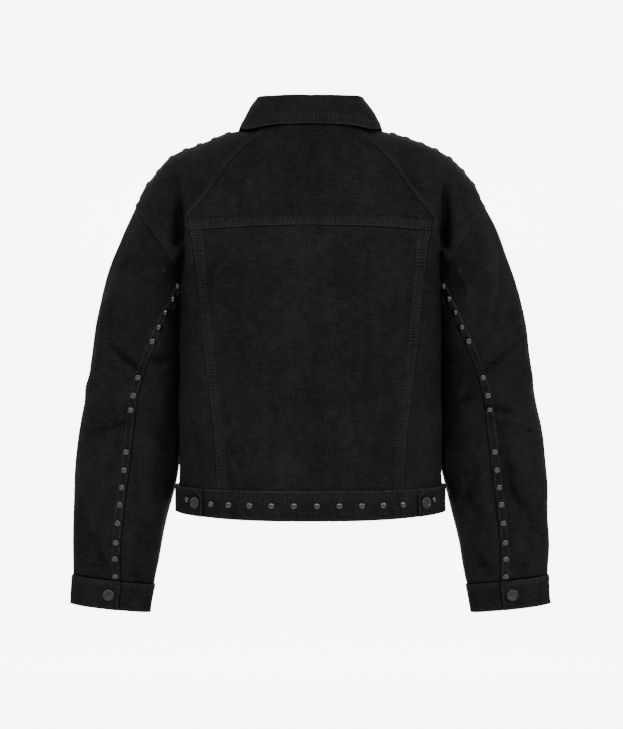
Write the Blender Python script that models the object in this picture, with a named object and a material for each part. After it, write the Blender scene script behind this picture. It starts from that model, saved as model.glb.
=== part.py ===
"""Cropped denim jacket with dropped shoulders, filled out as if worn and held at its neck.

Metres, +Z up. The front faces -Y and the wearer's left is +X. The origin is the middle of the neck
ring, level with the neck points. Every piece of cloth is a closed wall that follows one of three
surfaces: the torso, worked out from level sections; the sleeve, lofted from the armhole through oval
sections; and the collar, a folded strip on the neckline.
"""

import bpy
import numpy as np

# ---- driving dimensions, metres ----
CLOTH = 0.0020
BAND_CLOTH = 0.0030
COLLAR_CLOTH = 0.0024
SEAM_GAP = 0.0003
STRIP_CLOTH = 0.0013
ROUNDING = 2.7
SHOULDER_ARCH = 0.120
RIM_DIRECTION = np.array([0.30, 0.45, 0.84])

# Level sections of the torso.
# height, half width, depth of the back, depth of the front
TORSO = (
    (-0.505, 0.1866, 0.1245, 0.1285),
    (-0.480, 0.1852, 0.1238, 0.1290),
    (-0.400, 0.1855, 0.1238, 0.1305),
    (-0.311, 0.1857, 0.1226, 0.1310),
    (-0.235, 0.1860, 0.1216, 0.1300),
    (-0.220, 0.1900, 0.1212, 0.1295),
    (-0.205, 0.2040, 0.1208, 0.1285),
    (-0.190, 0.2340, 0.1204, 0.1275),
    (-0.170, 0.2600, 0.1194, 0.1260),
    (-0.140, 0.2620, 0.1170, 0.1200),
    (-0.100, 0.2620, 0.1115, 0.1040),
    (-0.060, 0.2620, 0.1035, 0.0860),
    (-0.020, 0.2620, 0.0900, 0.0760),
    (0.005, 0.2620, 0.0745, 0.0700),
)

# Shoulder ridge: distance from the middle, height
RIDGE = (
    (0.000, 0.060),
    (0.040, 0.040),
    (0.063, 0.016),
    (0.080, 0.003),
    (0.107, -0.004),
    (0.121, -0.007),
    (0.140, -0.014),
    (0.162, -0.022),
    (0.181, -0.030),
    (0.205, -0.047),
    (0.219, -0.064),
    (0.232, -0.081),
    (0.241, -0.098),
    (0.247, -0.108),
    (0.262, -0.142),
)

# Raglan seam and the panel seam below it: height, distance from the middle
SIDE_SEAM_IN = (
    (-0.505, 0.1275),
    (-0.449, 0.1300),
    (-0.3116, 0.1462),
    (-0.200, 0.1572),
    (-0.165, 0.1612),
    (-0.1475, 0.1660),
    (-0.1345, 0.1702),
    (-0.1225, 0.1645),
    (-0.107, 0.1507),
    (-0.079, 0.1300),
    (-0.049, 0.1100),
    (-0.021, 0.0840),
    (0.002, 0.0610),
)

# Armhole, seen from behind: turn from the shoulder tip to the underarm in degrees, x, height
ARMHOLE = (
    (0.0, 0.2470, -0.1080),
    (30.0, 0.2425, -0.1160),
    (60.0, 0.2300, -0.1340),
    (96.0, 0.2110, -0.1590),
    (130.0, 0.1940, -0.1830),
    (155.0, 0.1855, -0.2080),
    (180.0, 0.1860, -0.2350),
)
CREASE_START = 130.0
CREASE_END = 172.0

# Oval sections of the sleeve, armhole to cuff seam.
# outer x, outer z, inner x, inner z, middle y, half depth, back seam turn, front seam turn
SLEEVE = (
    (0.3045, -0.2700, 0.1863, -0.2700, -0.018, 0.083, 134.0, 205.0),
    (0.3125, -0.3200, 0.1860, -0.3200, -0.024, 0.079, 113.0, 212.0),
    (0.3205, -0.3710, 0.1858, -0.3710, -0.030, 0.072, 100.0, 218.0),
    (0.3305, -0.4230, 0.1862, -0.4230, -0.034, 0.064, 97.0, 222.0),
    (0.3380, -0.4750, 0.1915, -0.4750, -0.037, 0.058, 95.6, 224.0),
    (0.3412, -0.5430, 0.2045, -0.5450, -0.040, 0.050, 96.4, 226.0),
    (0.3418, -0.6040, 0.2175, -0.6080, -0.042, 0.040, 98.0, 228.0),
    (0.3420, -0.6330, 0.2247, -0.6470, -0.043, 0.030, 101.8, 230.0),
)
CUFF_FOOT = (0.3450, -0.6750, 0.2317, -0.6880, -0.044, 0.0255)
SEAM_TURN = 154.0

# Folds on the back of the torso and the sleeves.
# start x, start z, start depth, end x, end z, end depth, half width (depths below zero are troughs)
BACK_FOLDS = (
    (0.192, -0.050, 0.000, 0.183, -0.205, -0.018, 0.015),
    (0.080, -0.235, 0.003, 0.060, -0.430, 0.004, 0.030),
    (0.120, -0.200, -0.003, 0.105, -0.400, -0.003, 0.018),
)
SLEEVE_FOLDS = (
    (0.249, -0.336, -0.004, 0.288, -0.308, -0.002, 0.007),
    (0.256, -0.411, -0.006, 0.318, -0.428, -0.002, 0.007),
    (0.262, -0.378, 0.006, 0.312, -0.366, 0.004, 0.020),
    (0.290, -0.470, 0.004, 0.325, -0.520, 0.002, 0.014),
    (0.215, -0.450, 0.003, 0.250, -0.540, 0.003, 0.013),
    (0.235, -0.575, -0.003, 0.262, -0.560, -0.003, 0.008),
)
FRONT_FOLDS = (
    (0.193, -0.070, 0.000, 0.183, -0.205, -0.014, 0.015),
    (0.090, -0.160, -0.003, 0.150, -0.225, -0.004, 0.016),
    (0.110, -0.280, 0.003, 0.100, -0.450, 0.004, 0.026),
)

# Waistband: half width, depth behind and in front, and its edges at the middle and the sides
BAND_HALF = 0.1882
BAND_BACK = 0.1275
BAND_FRONT = 0.1315
BAND_TOP_BACK = -0.5040
BAND_TOP_SIDE = -0.5010
BAND_TOP_FRONT = -0.5030
BAND_FOOT_BACK = -0.5455
BAND_FOOT_SIDE = -0.5370
BAND_FOOT_FRONT = -0.5430
BAND_LAP = 8.0
BAND_LIFT = 0.0037

YOKE_MIDDLE = -0.1404
YOKE_CORNER = -0.1475
NECK_HALF = 0.0800
NECK_BACK = 0.0020
NECK_SIDE = 0.0030
NECK_FRONT = -0.0720

# Heights of the shared rows on the seam beside the back panel, below the underarm
SEAM_ROWS_LOW = (-0.505, -0.470, -0.430, -0.390, -0.350, -0.310, -0.270)
# Turn on the armhole and the height where the same row meets the raglan or panel seam
BACK_ROWS = (
    (180.0, -0.235),
    (173.5, -0.229),
    (167.0, -0.223),
    (160.5, -0.217),
    (154.0, -0.211),
    (151.0, -0.207),
    (141.0, -0.197),
    (126.0, -0.182),
    (105.0, -0.162),
    (84.0, -0.1475),
    (63.0, -0.136),
    (42.0, -0.1245),
    (21.0, -0.113),
    (0.0, -0.100),
)
# Distance along the shoulder ridge and the height where the same row meets the raglan seam
RIDGE_ROWS = (
    (0.240, -0.087),
    (0.229, -0.073),
    (0.212, -0.058),
    (0.188, -0.044),
    (0.160, -0.031),
    (0.131, -0.019),
    (0.104, -0.008),
    (0.080, 0.002),
)
FRONT_STOPS = (180.0, 173.5, 167.0, 160.5, 154.0, 126.0, 105.0, 84.0, 63.0, 42.0, 21.0, 0.0)

BACK_COLUMNS = 12
SIDE_COLUMNS = 9
FRONT_COLUMNS = 10
RIDGE_CELL = 0.0115

# Studs and buttons
STUD_RADIUS = 0.0042
STUD_HEIGHT = 0.0024
STUD_SINK = 0.0006
STUD_SIDES = 6
BUTTON_RADIUS = 0.0083
BUTTON_HEIGHT = 0.0032
BUTTON_SIDES = 14
SEAM_EDGE = 0.0016
STRIP_END = 0.0120

# Heights of the sixteen studs beside each back sleeve seam
SLEEVE_STUDS = (
    -0.2222, -0.2400, -0.2590, -0.2798, -0.2995,
    -0.3500, -0.3749, -0.3954,
    -0.4547, -0.4804, -0.5050, -0.5295, -0.5562, -0.5842, -0.6079, -0.6335,
)
# Distances from the middle of the seven studs on each shoulder ridge
SHOULDER_STUDS = (0.117, 0.137, 0.158, 0.178, 0.198, 0.2165, 0.231)
# Places across the back of the ten studs on the waistband, and their share of its height
BAND_STUDS = (0.1366, 0.1118, 0.0833, 0.0534, 0.0227, -0.0086, -0.0392, -0.0700, -0.0993, -0.1266)
BAND_STUD_HEIGHT = 0.52

BUTTON_NECK = 0.45
BUTTON_RIM = 0.0006
FRONT_BUTTONS = (-0.118, -0.216, -0.314, -0.412)
PLACKET_HALF = 0.0175
PLACKET_FOOT = 0.0010

# Collar: its leaf's lower edge as turn from the middle back, x, y, z
LEAF_EDGE = (
    (0.0, 0.0000, 0.0800, 0.0030),
    (30.0, 0.0510, 0.0700, 0.0025),
    (60.0, 0.0860, 0.0430, 0.0005),
    (90.0, 0.1005, 0.0000, 0.0020),
    (115.0, 0.1010, -0.0530, -0.0160),
    (140.0, 0.0850, -0.0950, -0.0700),
    (160.0, 0.0660, -0.1130, -0.1060),
    (172.0, 0.0520, -0.1240, -0.1260),
)
# Turn, height of the fold
COLLAR_FOLD = (
    (0.0, 0.0375),
    (45.0, 0.0400),
    (75.0, 0.0430),
    (90.0, 0.0420),
    (110.0, 0.0180),
    (135.0, -0.0140),
    (160.0, -0.0340),
    (172.0, -0.0400),
)
FOLD_HALF = 0.0690
FOLD_BACK = 0.0655
FOLD_FRONT = 0.0740
FOLD_RADIUS = 0.0036
FOOT_LIFT = 0.0014
LEAF_BULGE = 0.0045
STAND_SHARE = 0.3
FOLD_SHARE = 0.2
COLLAR_PARTS = (0.0, 0.3, 0.36, 0.43, 0.5, 0.66, 0.83, 1.0)
COLLAR_END = 172.0

# Tabs on the waistband: turns of the tip, the sewn end, the button and the stud
TAB_TIP = 46.5
TAB_END = 97.0
TAB_BUTTON = 51.0
TAB_STUD = 59.4
TAB_STUD_HEIGHT = 0.57
TAB_LIFT = 0.0007
TAB_CLOTH = 0.0024
# Share of the tab's length from its tip, and of its full height there, up from its straight foot
TAB_OUTLINE = ((0.0, 0.62), (0.02, 0.80), (0.06, 0.92), (0.12, 0.98), (0.18, 1.0), (0.30, 1.0),
               (0.45, 1.0), (0.60, 1.0), (0.75, 1.0), (0.88, 1.0), (1.0, 1.0))

# Cuffs: turn of the lap's edge, length of the lap, and how far the cloth stands out
CUFF_LAP_EDGE = 101.8
CUFF_LAP = 36.0
CUFF_GROW = 0.0012
CUFF_LIFT = 0.0036
CUFF_BUTTON = 88.0
BUTTON_SHARE = 0.52

# Cells of the sleeves: turns of the top sleeve's columns at the armhole, and the rows from the
# armhole (0) through the numbered sections to the cuff seam (8)
TOP_STOPS = (154.0, 151.0, 141.0, 126.0, 105.0, 84.0, 63.0, 42.0, 21.0, 0.0,
             -21.0, -42.0, -63.0, -84.0, -105.0, -126.0, -154.0)
UNDER_CELLS = 8
ALONG = (0.0, 0.1, 0.22, 0.4, 0.65, 1.0, 1.5, 2.0, 2.5, 3.0, 3.5, 4.0, 4.5, 5.0, 5.5, 6.0, 6.6, 7.2, 8.0)
BAND_CELLS = 48
CUFF_CELLS = 36

# Colours and roughness
DENIM = (0.012, 0.012, 0.014)
METAL = (0.22, 0.21, 0.20)
DENIM_ROUGHNESS = 0.85
METAL_ROUGHNESS = 0.38


def curve(table, column, at):
    """Smooth curve through one column of a table, whose first column is the place."""
    rows = np.array(sorted(table), dtype=float)
    place = rows[:, 0]
    value = rows[:, column]
    slope = np.gradient(value, place)
    at = np.clip(at, place[0], place[-1])
    low = np.clip(np.searchsorted(place, at, side="right") - 1, 0, len(place) - 2)
    span = place[low + 1] - place[low]
    t = (at - place[low]) / span
    return (
        value[low] * (2 * t**3 - 3 * t**2 + 1)
        + slope[low] * span * (t**3 - 2 * t**2 + t)
        + value[low + 1] * (3 * t**2 - 2 * t**3)
        + slope[low + 1] * span * (t**3 - t**2)
    )


def ease(t):
    """Smooth step from 0 to 1."""
    t = np.clip(t, 0.0, 1.0)
    return t * t * (3 - 2 * t)


def unit(v):
    """Vectors scaled to length 1."""
    return v / np.maximum(np.linalg.norm(v, axis=-1, keepdims=True), 1e-12)


def folds(table, x, z):
    """Height of the folds at a place seen square on: soft ridges and troughs along segments."""
    total = np.zeros(np.broadcast(x, z).shape)
    for x0, z0, depth0, x1, z1, depth1, half_width in table:
        run = np.array([x1 - x0, z1 - z0])
        along = np.clip(((x - x0) * run[0] + (z - z0) * run[1]) / run.dot(run), 0.0, 1.0)
        away = np.hypot(x - x0 - along * run[0], z - z0 - along * run[1])
        total = total + (depth0 + (depth1 - depth0) * along) * np.exp(-((away / half_width) ** 2))
    return total


# ---- torso ----


def torso_fill(x, z, front):
    """Depth to the power of the rounding: positive inside the outline and zero on it."""
    half = curve(TORSO, 1, z)
    depth = curve(TORSO, 3 if front else 2, z)
    ridge = curve(RIDGE, 1, np.abs(x))
    rise = np.maximum((z - ridge) / SHOULDER_ARCH + 1.0, 0.0)
    across = 1.0 - (np.abs(x) / half) ** ROUNDING
    return depth**ROUNDING * across * (1.0 - rise**ROUNDING)


def torso(x, z, front):
    """Points and outward directions of the torso at x and height z."""
    x, z = np.broadcast_arrays(np.asarray(x, float), np.asarray(z, float))
    side = -1.0 if front else 1.0
    y = np.maximum(torso_fill(x, z, front), 0.0) ** (1.0 / ROUNDING)
    step = 1e-4
    slope_x = (torso_fill(x + step, z, front) - torso_fill(x - step, z, front)) / (2 * step)
    slope_z = (torso_fill(x, z + step, front) - torso_fill(x, z - step, front)) / (2 * step)
    out = unit(np.stack([-slope_x, side * ROUNDING * y ** (ROUNDING - 1.0), -slope_z], axis=-1))
    fold = folds(FRONT_FOLDS if front else BACK_FOLDS, np.abs(x), z) * ease(y / 0.04)
    return np.stack([x, side * (y + fold), z], axis=-1), out


def armhole(turn):
    """Points, outward directions and sleeveward directions on the armhole; behind is above zero."""
    turn = np.asarray(turn, float)

    def place(turn):
        turn = (turn + 180.0) % 360.0 - 180.0
        size = np.abs(turn)
        x = curve(ARMHOLE, 1, size)
        z = curve(ARMHOLE, 2, size)
        behind, out_behind = torso(x, z, False)
        ahead, out_ahead = torso(x, z, True)
        is_behind = (turn >= 0.0)[..., None]
        return np.where(is_behind, behind, ahead), np.where(is_behind, out_behind, out_ahead)

    points, out = place(turn)
    along = place(turn + 1.5)[0] - place(turn - 1.5)[0]
    size = np.abs((turn + 180.0) % 360.0 - 180.0)
    groove = ease((size - CREASE_START) / (CREASE_END - CREASE_START))
    out = unit(np.stack([out[..., 0] * (1 - groove), out[..., 1], out[..., 2] * (1 - groove) - groove], -1))
    out = np.where((size > 179.0)[..., None], [0.0, 0.0, -1.0], out)
    sleeveward = unit(np.cross(along, out))
    out = unit(np.cross(sleeveward, along))
    return points, out, sleeveward


# ---- sleeve ----


def sleeve_place(around, along):
    """Points of the sleeve.

    around runs from the back seam (0) past the outer edge to the front seam (1) and on under the arm
    to the back seam (2). along runs from the armhole (0) through the numbered sections to the cuff.
    """
    around, along = np.broadcast_arrays(np.asarray(around, float), np.asarray(along, float))
    over = np.clip(around, 0.0, 1.0)
    under = np.clip(around, 1.0, 2.0) - 1.0
    turn = SEAM_TURN - 2 * SEAM_TURN * over - (360.0 - 2 * SEAM_TURN) * under
    start, _, sleeveward = armhole(turn)
    rows = [start]
    for outer_x, outer_z, inner_x, inner_z, middle_y, half_depth, back_seam, front_seam in SLEEVE:
        angle = back_seam - (back_seam + 360.0 - front_seam) * over - (front_seam - back_seam) * under
        cos = np.cos(np.radians(angle))
        sin = np.sin(np.radians(angle))
        x = (outer_x + inner_x) / 2 + (outer_x - inner_x) / 2 * cos
        z = (outer_z + inner_z) / 2 + (outer_z - inner_z) / 2 * cos
        rows.append(np.stack([x, middle_y + half_depth * sin, z], axis=-1))
    rows = np.stack(rows)
    span = np.linalg.norm(np.diff(rows, axis=0), axis=-1, keepdims=True)
    step = np.diff(rows, axis=0) / span
    size = np.abs((turn + 180.0) % 360.0 - 180.0)
    dive = ease((size - 110.0) / 60.0)[..., None]
    first = unit(sleeveward * (1 - dive) + np.array([0.10, 0.0, -1.0]) * dive)
    middle = (step[:-1] * span[1:] + step[1:] * span[:-1]) / (span[1:] + span[:-1])
    slope = np.concatenate([first[None], middle, step[-1:]])
    low = np.clip(np.floor(along).astype(int), 0, len(SLEEVE) - 1)
    t = (along - low)[..., None]

    def pick(stack, index):
        return np.take_along_axis(stack, index[None, ..., None], axis=0)[0]

    length = pick(span, low)
    return (
        pick(rows, low) * (2 * t**3 - 3 * t**2 + 1)
        + pick(slope, low) * length * (t**3 - 2 * t**2 + t)
        + pick(rows, low + 1) * (3 * t**2 - 2 * t**3)
        + pick(slope, low + 1) * length * (t**3 - t**2)
    )


def sleeve(around, along):
    """Points and outward directions of the sleeve, with its folds."""
    around, along = np.broadcast_arrays(np.asarray(around, float), np.asarray(along, float))
    points = sleeve_place(around, along)
    step = 0.004
    last = len(SLEEVE) - 1e-6
    across = sleeve_place(np.mod(around + step, 2.0), along) - sleeve_place(np.mod(around - step, 2.0), along)
    down = sleeve_place(around, np.minimum(along + 0.02, last)) - sleeve_place(around, np.maximum(along - 0.02, 0.0))
    out = unit(np.cross(across, down))
    over = np.clip(around, 0.0, 1.0)
    under = np.clip(around, 1.0, 2.0) - 1.0
    turn = SEAM_TURN - 2 * SEAM_TURN * over - (360.0 - 2 * SEAM_TURN) * under
    edge_out = armhole(turn)[1]
    near = (1 - ease(along / 0.4))[..., None]
    out = unit(edge_out * near + out * (1 - near))
    fold = folds(SLEEVE_FOLDS, points[..., 0], points[..., 2]) * ease(along / 0.5) * ease(out[..., 1] * 2.0)
    return points + out * fold[..., None], out


# ---- meshes ----


def material(name, colour, roughness, metallic):
    """A plain material with its colour, roughness and metallic value."""
    made = bpy.data.materials.new(name)
    made.use_nodes = True
    shader = made.node_tree.nodes["Principled BSDF"]
    shader.inputs["Base Color"].default_value = (*colour, 1.0)
    shader.inputs["Roughness"].default_value = roughness
    shader.inputs["Metallic"].default_value = metallic
    return made


def add_object(name, vertices, triangles, colour, roughness, metallic, guide=False):
    """A closed mesh with its faces pointing out and a material of its own."""
    vertices = np.asarray(vertices, float)
    triangles = np.asarray(triangles, int)
    corner = vertices[triangles]
    volume = np.einsum("ij,ij->i", corner[:, 0], np.cross(corner[:, 1], corner[:, 2])).sum()
    if volume < 0:
        triangles = triangles[:, ::-1]
    mesh = bpy.data.meshes.new(name)
    mesh.from_pydata(vertices.tolist(), [], triangles.tolist())
    mesh.shade_smooth()
    mesh.set_sharp_from_angle(angle=0.7)
    made = bpy.data.objects.new(name, mesh)
    bpy.context.scene.collection.objects.link(made)
    mesh.materials.append(material(name, colour, roughness, metallic))
    if guide:
        made.hide_render = True
        made.display_type = "WIRE"
    return made


def wall(outer, inner):
    """Vertices and triangles of the closed wall between two grids of points."""
    rows, columns = outer.shape[:2]
    number = np.arange(rows * columns).reshape(rows, columns)
    shift = rows * columns

    def split(a, b, c, d):
        return np.concatenate([np.stack([a, b, c], -1).reshape(-1, 3), np.stack([a, c, d], -1).reshape(-1, 3)])

    a, b, c, d = number[:-1, :-1], number[:-1, 1:], number[1:, 1:], number[1:, :-1]
    faces = [split(a, b, c, d), split(a, b, c, d)[:, ::-1] + shift]
    loop = np.concatenate([number[0, :-1], number[:-1, -1], number[-1, :0:-1], number[:0:-1, 0]])
    after = np.roll(loop, -1)
    vertices = np.concatenate([outer.reshape(-1, 3), inner.reshape(-1, 3)])
    # Neighbours across a seam split their rims along the same diagonal, so the gap stays even.
    rising = (vertices[after] - vertices[loop]) @ RIM_DIRECTION > 0
    one = split(after, loop, loop + shift, after + shift)
    other = split(loop, loop + shift, after + shift, after)
    faces.append(np.where(np.tile(rising, 2)[:, None], one, other))
    return vertices, np.concatenate(faces)


def mirrored(points):
    """The same points on the wearer's right."""
    return points * np.array([-1.0, 1.0, 1.0])


def cloth(name, outer, out, thickness=CLOTH, mirror=False):
    """A named wall of cloth: outer points and the same points moved in by the thickness."""
    inner = outer - out * thickness
    if mirror:
        outer = mirrored(outer)
        inner = mirrored(inner)
    vertices, triangles = wall(outer, inner)
    return add_object(name, vertices, triangles, DENIM, DENIM_ROUGHNESS, 0.0)


def draw_in(points, rows=(False, False), columns=(False, False)):
    """Moves the chosen edges of a grid in by half a seam gap."""
    moved = points.copy()
    half = SEAM_GAP / 2
    if rows[0]:
        moved[0] += unit(points[1] - points[0]) * half
    if rows[1]:
        moved[-1] += unit(points[-2] - points[-1]) * half
    if columns[0]:
        moved[:, 0] += unit(points[:, 1] - points[:, 0]) * half
    if columns[1]:
        moved[:, -1] += unit(points[:, -2] - points[:, -1]) * half
    return moved


def join(vertices, triangles):
    """Several closed shapes as one list of vertices and triangles."""
    start = np.cumsum([0] + [len(v) for v in vertices[:-1]])
    return np.concatenate(vertices), np.concatenate([t + s for t, s in zip(triangles, start)])


def turned(profile, sides, centre, out):
    """A turned shape on an axis: profile is radius and height, from its foot to its top."""
    out = unit(np.asarray(out, float))
    helper = np.array([0.0, 0.0, 1.0]) if abs(out[2]) < 0.9 else np.array([1.0, 0.0, 0.0])
    side = unit(np.cross(helper, out))
    up = np.cross(out, side)
    angle = np.arange(sides) * 2 * np.pi / sides
    spoke = np.cos(angle)[:, None] * side + np.sin(angle)[:, None] * up
    rings = [centre + spoke * radius + out * height for radius, height in profile]
    vertices = np.concatenate([[centre + out * profile[0][1]], *rings, [centre + out * profile[-1][1]]])
    number = 1 + np.arange(len(profile) * sides).reshape(len(profile), sides)
    after = np.roll(number, -1, axis=1)
    triangles = [np.stack([np.zeros(sides, int), after[0], number[0]], -1)]
    for k in range(len(profile) - 1):
        triangles.append(np.stack([number[k], after[k], after[k + 1]], -1))
        triangles.append(np.stack([number[k], after[k + 1], number[k + 1]], -1))
    top = len(vertices) - 1
    triangles.append(np.stack([number[-1], after[-1], np.full(sides, top)], -1))
    return vertices, np.concatenate(triangles)


def stud(centre, out):
    """A domed stud whose foot is sunk into the cloth that it is riveted to."""
    profile = (
        (STUD_RADIUS, -STUD_SINK),
        (STUD_RADIUS * 0.62, STUD_HEIGHT),
    )
    return turned(profile, STUD_SIDES, centre, out)


def button(name, centre, out):
    """A shank button: a short neck under a rimmed disc."""
    neck = BUTTON_RADIUS * BUTTON_NECK
    profile = (
        (neck, SEAM_GAP),
        (neck, BUTTON_RIM * 2),
        (BUTTON_RADIUS, BUTTON_RIM * 2.4),
        (BUTTON_RADIUS, BUTTON_HEIGHT - BUTTON_RIM),
        (BUTTON_RADIUS * 0.86, BUTTON_HEIGHT),
        (BUTTON_RADIUS * 0.72, BUTTON_HEIGHT - BUTTON_RIM),
    )
    vertices, triangles = turned(profile, BUTTON_SIDES, centre, out)
    return add_object(name, vertices, triangles, METAL, METAL_ROUGHNESS, 1.0)


def fuse_studs(carrier, centres, outs):
    """Rivets studs to a piece of cloth."""
    shapes = [stud(c, o) for c, o in zip(centres, outs)]
    vertices, triangles = join([s[0] for s in shapes], [s[1] for s in shapes])
    cutter = add_object(f"{carrier.name}_studs", vertices, triangles, METAL, METAL_ROUGHNESS, 1.0, guide=True)
    union = carrier.modifiers.new("Studs", "BOOLEAN")
    union.operation = "UNION"
    union.solver = "EXACT"
    union.object = cutter


# ---- torso pieces ----


def band_top(x, front):
    """Height of the seam between the torso and the waistband."""
    middle = BAND_TOP_FRONT if front else BAND_TOP_BACK
    return middle + (BAND_TOP_SIDE - middle) * (np.abs(x) / BAND_HALF) ** 2


def yoke_seam(x):
    """Height of the yoke's lower edge."""
    corner = curve(SIDE_SEAM_IN, 1, YOKE_CORNER)
    return YOKE_MIDDLE + (YOKE_CORNER - YOKE_MIDDLE) * (x / corner) ** 2


def back_middle_rows():
    """Heights on the raglan and panel seams that the yoke, the panel and the side piece share."""
    return np.array(SEAM_ROWS_LOW + tuple(z for _, z in BACK_ROWS) + tuple(z for _, z in RIDGE_ROWS))


def back_yoke():
    """The piece under the collar, between the two raglan seams."""
    rows = back_middle_rows()
    rows = rows[rows >= YOKE_CORNER - 1e-6]
    across = np.linspace(-1.0, 1.0, BACK_COLUMNS + 1)
    corner = curve(SIDE_SEAM_IN, 1, YOKE_CORNER)
    fade = (rows[-1] - rows) / (rows[-1] - rows[0])
    x = across[None, :] * curve(SIDE_SEAM_IN, 1, rows)[:, None]
    z = rows[:, None] + fade[:, None] * (yoke_seam(across * corner) - YOKE_CORNER)[None, :]
    points, out = torso(x, z, False)
    cloth("back_yoke", draw_in(points, (True, False), (True, True)), out)


def back_panel():
    """The middle of the back, from the yoke down to the waistband."""
    rows = back_middle_rows()
    rows = rows[rows <= YOKE_CORNER + 1e-6]
    across = np.linspace(-1.0, 1.0, BACK_COLUMNS + 1)
    corner = curve(SIDE_SEAM_IN, 1, YOKE_CORNER)
    up = (rows - rows[0]) / (rows[-1] - rows[0])
    x = across[None, :] * curve(SIDE_SEAM_IN, 1, rows)[:, None]
    top = (yoke_seam(across * corner) - YOKE_CORNER)[None, :]
    foot = band_top(x[:1], False) - rows[0]
    z = rows[:, None] + up[:, None] * top + (1 - up[:, None]) ** 4 * foot
    points, out = torso(x, z, False)
    cloth("back_panel", draw_in(points, (True, True), (True, True)), out)


def spread(place, count, last_cell):
    """Even columns along each row of a surface, the last cell of a given width."""
    fine = np.sin(np.linspace(0.0, np.pi / 2, 241))
    path = place(fine[None, :])[0]
    length = np.linalg.norm(np.diff(path, axis=1), axis=-1)
    length = np.concatenate([np.zeros((len(path), 1)), np.cumsum(length, axis=1)], axis=1)
    columns = []
    for run in length:
        stops = np.linspace(0.0, run[-1] - last_cell, count)
        if last_cell > 0:
            stops = np.append(stops, run[-1])
        columns.append(np.interp(stops, run, fine))
    return place(np.array(columns))


def outer_edge(stops, ridge_rows):
    """Outer edge of a back or a front: side seam, armhole and shoulder ridge."""
    side_z = np.array(SEAM_ROWS_LOW)
    side_x = curve(TORSO, 1, side_z)
    arm_x = curve(ARMHOLE, 1, np.array(stops))
    arm_z = curve(ARMHOLE, 2, np.array(stops))
    ridge_x = np.array([x for x, _ in ridge_rows])
    ridge_z = curve(RIDGE, 1, ridge_x)
    ridge_z[-1] = NECK_SIDE
    return np.concatenate([side_x, arm_x, ridge_x]), np.concatenate([side_z, arm_z, ridge_z])


def seat_outer_edge(points, out, stops, front):
    """Sets the last column on the side seam, the armhole and the ridge, half a gap inside each."""
    side = -1.0 if front else 1.0
    half = SEAM_GAP / 2
    low = len(SEAM_ROWS_LOW)
    high = low + len(stops)
    turn = np.array(stops) * side
    edge, edge_out, sleeveward = armhole(turn)
    points[low:high, -1] = edge - sleeveward * half
    out[low:high, -1] = edge_out
    points[:low + 1, -1, 1] += side * half
    points[high - 1:, -1, 1] += side * half
    flat = np.array([1.0, 0.0, 1.0])
    out[:low, -1] = unit(out[:low, -1] * flat)
    out[high:, -1] = unit(out[high:, -1] * flat)


def back_side(name, mirror):
    """The long piece beside the yoke and the back panel, up to the shoulder ridge."""
    inner_z = back_middle_rows()
    inner_x = curve(SIDE_SEAM_IN, 1, inner_z)
    stops = [turn for turn, _ in BACK_ROWS]
    outer_x, outer_z = outer_edge(stops, RIDGE_ROWS)
    rise = np.linspace(0.0, 1.0, len(inner_z))[:, None]

    def place(part):
        x = inner_x[:, None] + (outer_x - inner_x)[:, None] * part
        z = inner_z[:, None] + (outer_z - inner_z)[:, None] * part
        foot = band_top(x, False) - inner_z[0]
        return torso(x, z + foot * np.maximum(1 - rise * 8, 0.0), False)

    points, out = spread(place, SIDE_COLUMNS, RIDGE_CELL)
    points = draw_in(points, (True, False), (True, False))
    seat_outer_edge(points, out, stops, False)
    cloth(name, points, out, mirror=mirror)
    return points, out


def front(name, mirror):
    """One front, from the middle edge to the side seam, armhole and shoulder ridge."""
    outer_x, outer_z = outer_edge(FRONT_STOPS, RIDGE_ROWS)
    low = len(SEAM_ROWS_LOW)
    upper = np.linspace(-0.235, NECK_FRONT, len(outer_z) - low)
    inner_z = np.concatenate([np.array(SEAM_ROWS_LOW), upper])
    rise = np.linspace(0.0, 1.0, len(inner_z))[:, None]
    ridge_share = np.linspace(0.0, 1.0, len(RIDGE_ROWS) + 1)
    scoop = np.concatenate([np.zeros(len(outer_z) - len(ridge_share)), ridge_share])[:, None]

    def place(part):
        x = outer_x[:, None] * part
        climb = part * (1 - scoop) + (1 - np.sqrt(np.maximum(1 - part**2, 0.0))) * scoop
        z = inner_z[:, None] + (outer_z - inner_z)[:, None] * climb
        foot = band_top(x, True) - inner_z[0]
        return torso(x, z + foot * np.maximum(1 - rise * 8, 0.0), True)

    points, out = spread(place, FRONT_COLUMNS, RIDGE_CELL)
    points = draw_in(points, (True, False), (False, False))
    points[:, 0, 0] += SEAM_GAP / 2
    seat_outer_edge(points, out, FRONT_STOPS, True)
    cloth(name, points, out, mirror=mirror)
    return points, out


def placket(points, out):
    """The strip over both front edges, made from the front's first cells moved out."""
    share = PLACKET_HALF / np.maximum(points[:, 1, 0], PLACKET_HALF)
    edge = points[:, 0] + (points[:, 1] - points[:, 0]) * share[:, None]
    edge_out = unit(out[:, 0] + (out[:, 1] - out[:, 0]) * share[:, None])
    middle = points[:, 0] * np.array([0.0, 1.0, 1.0])
    grid = np.stack([mirrored(edge), middle, edge], axis=1)
    grid_out = np.stack([mirrored(edge_out), out[:, 0], edge_out], axis=1)
    keep = slice(0, len(points) - 1)
    grid = grid[keep] + grid_out[keep] * (SEAM_GAP + CLOTH)
    grid[0, :, 2] += PLACKET_FOOT
    cloth("placket", grid, grid_out[keep])
    return grid, grid_out[keep]


# ---- collar ----


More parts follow.
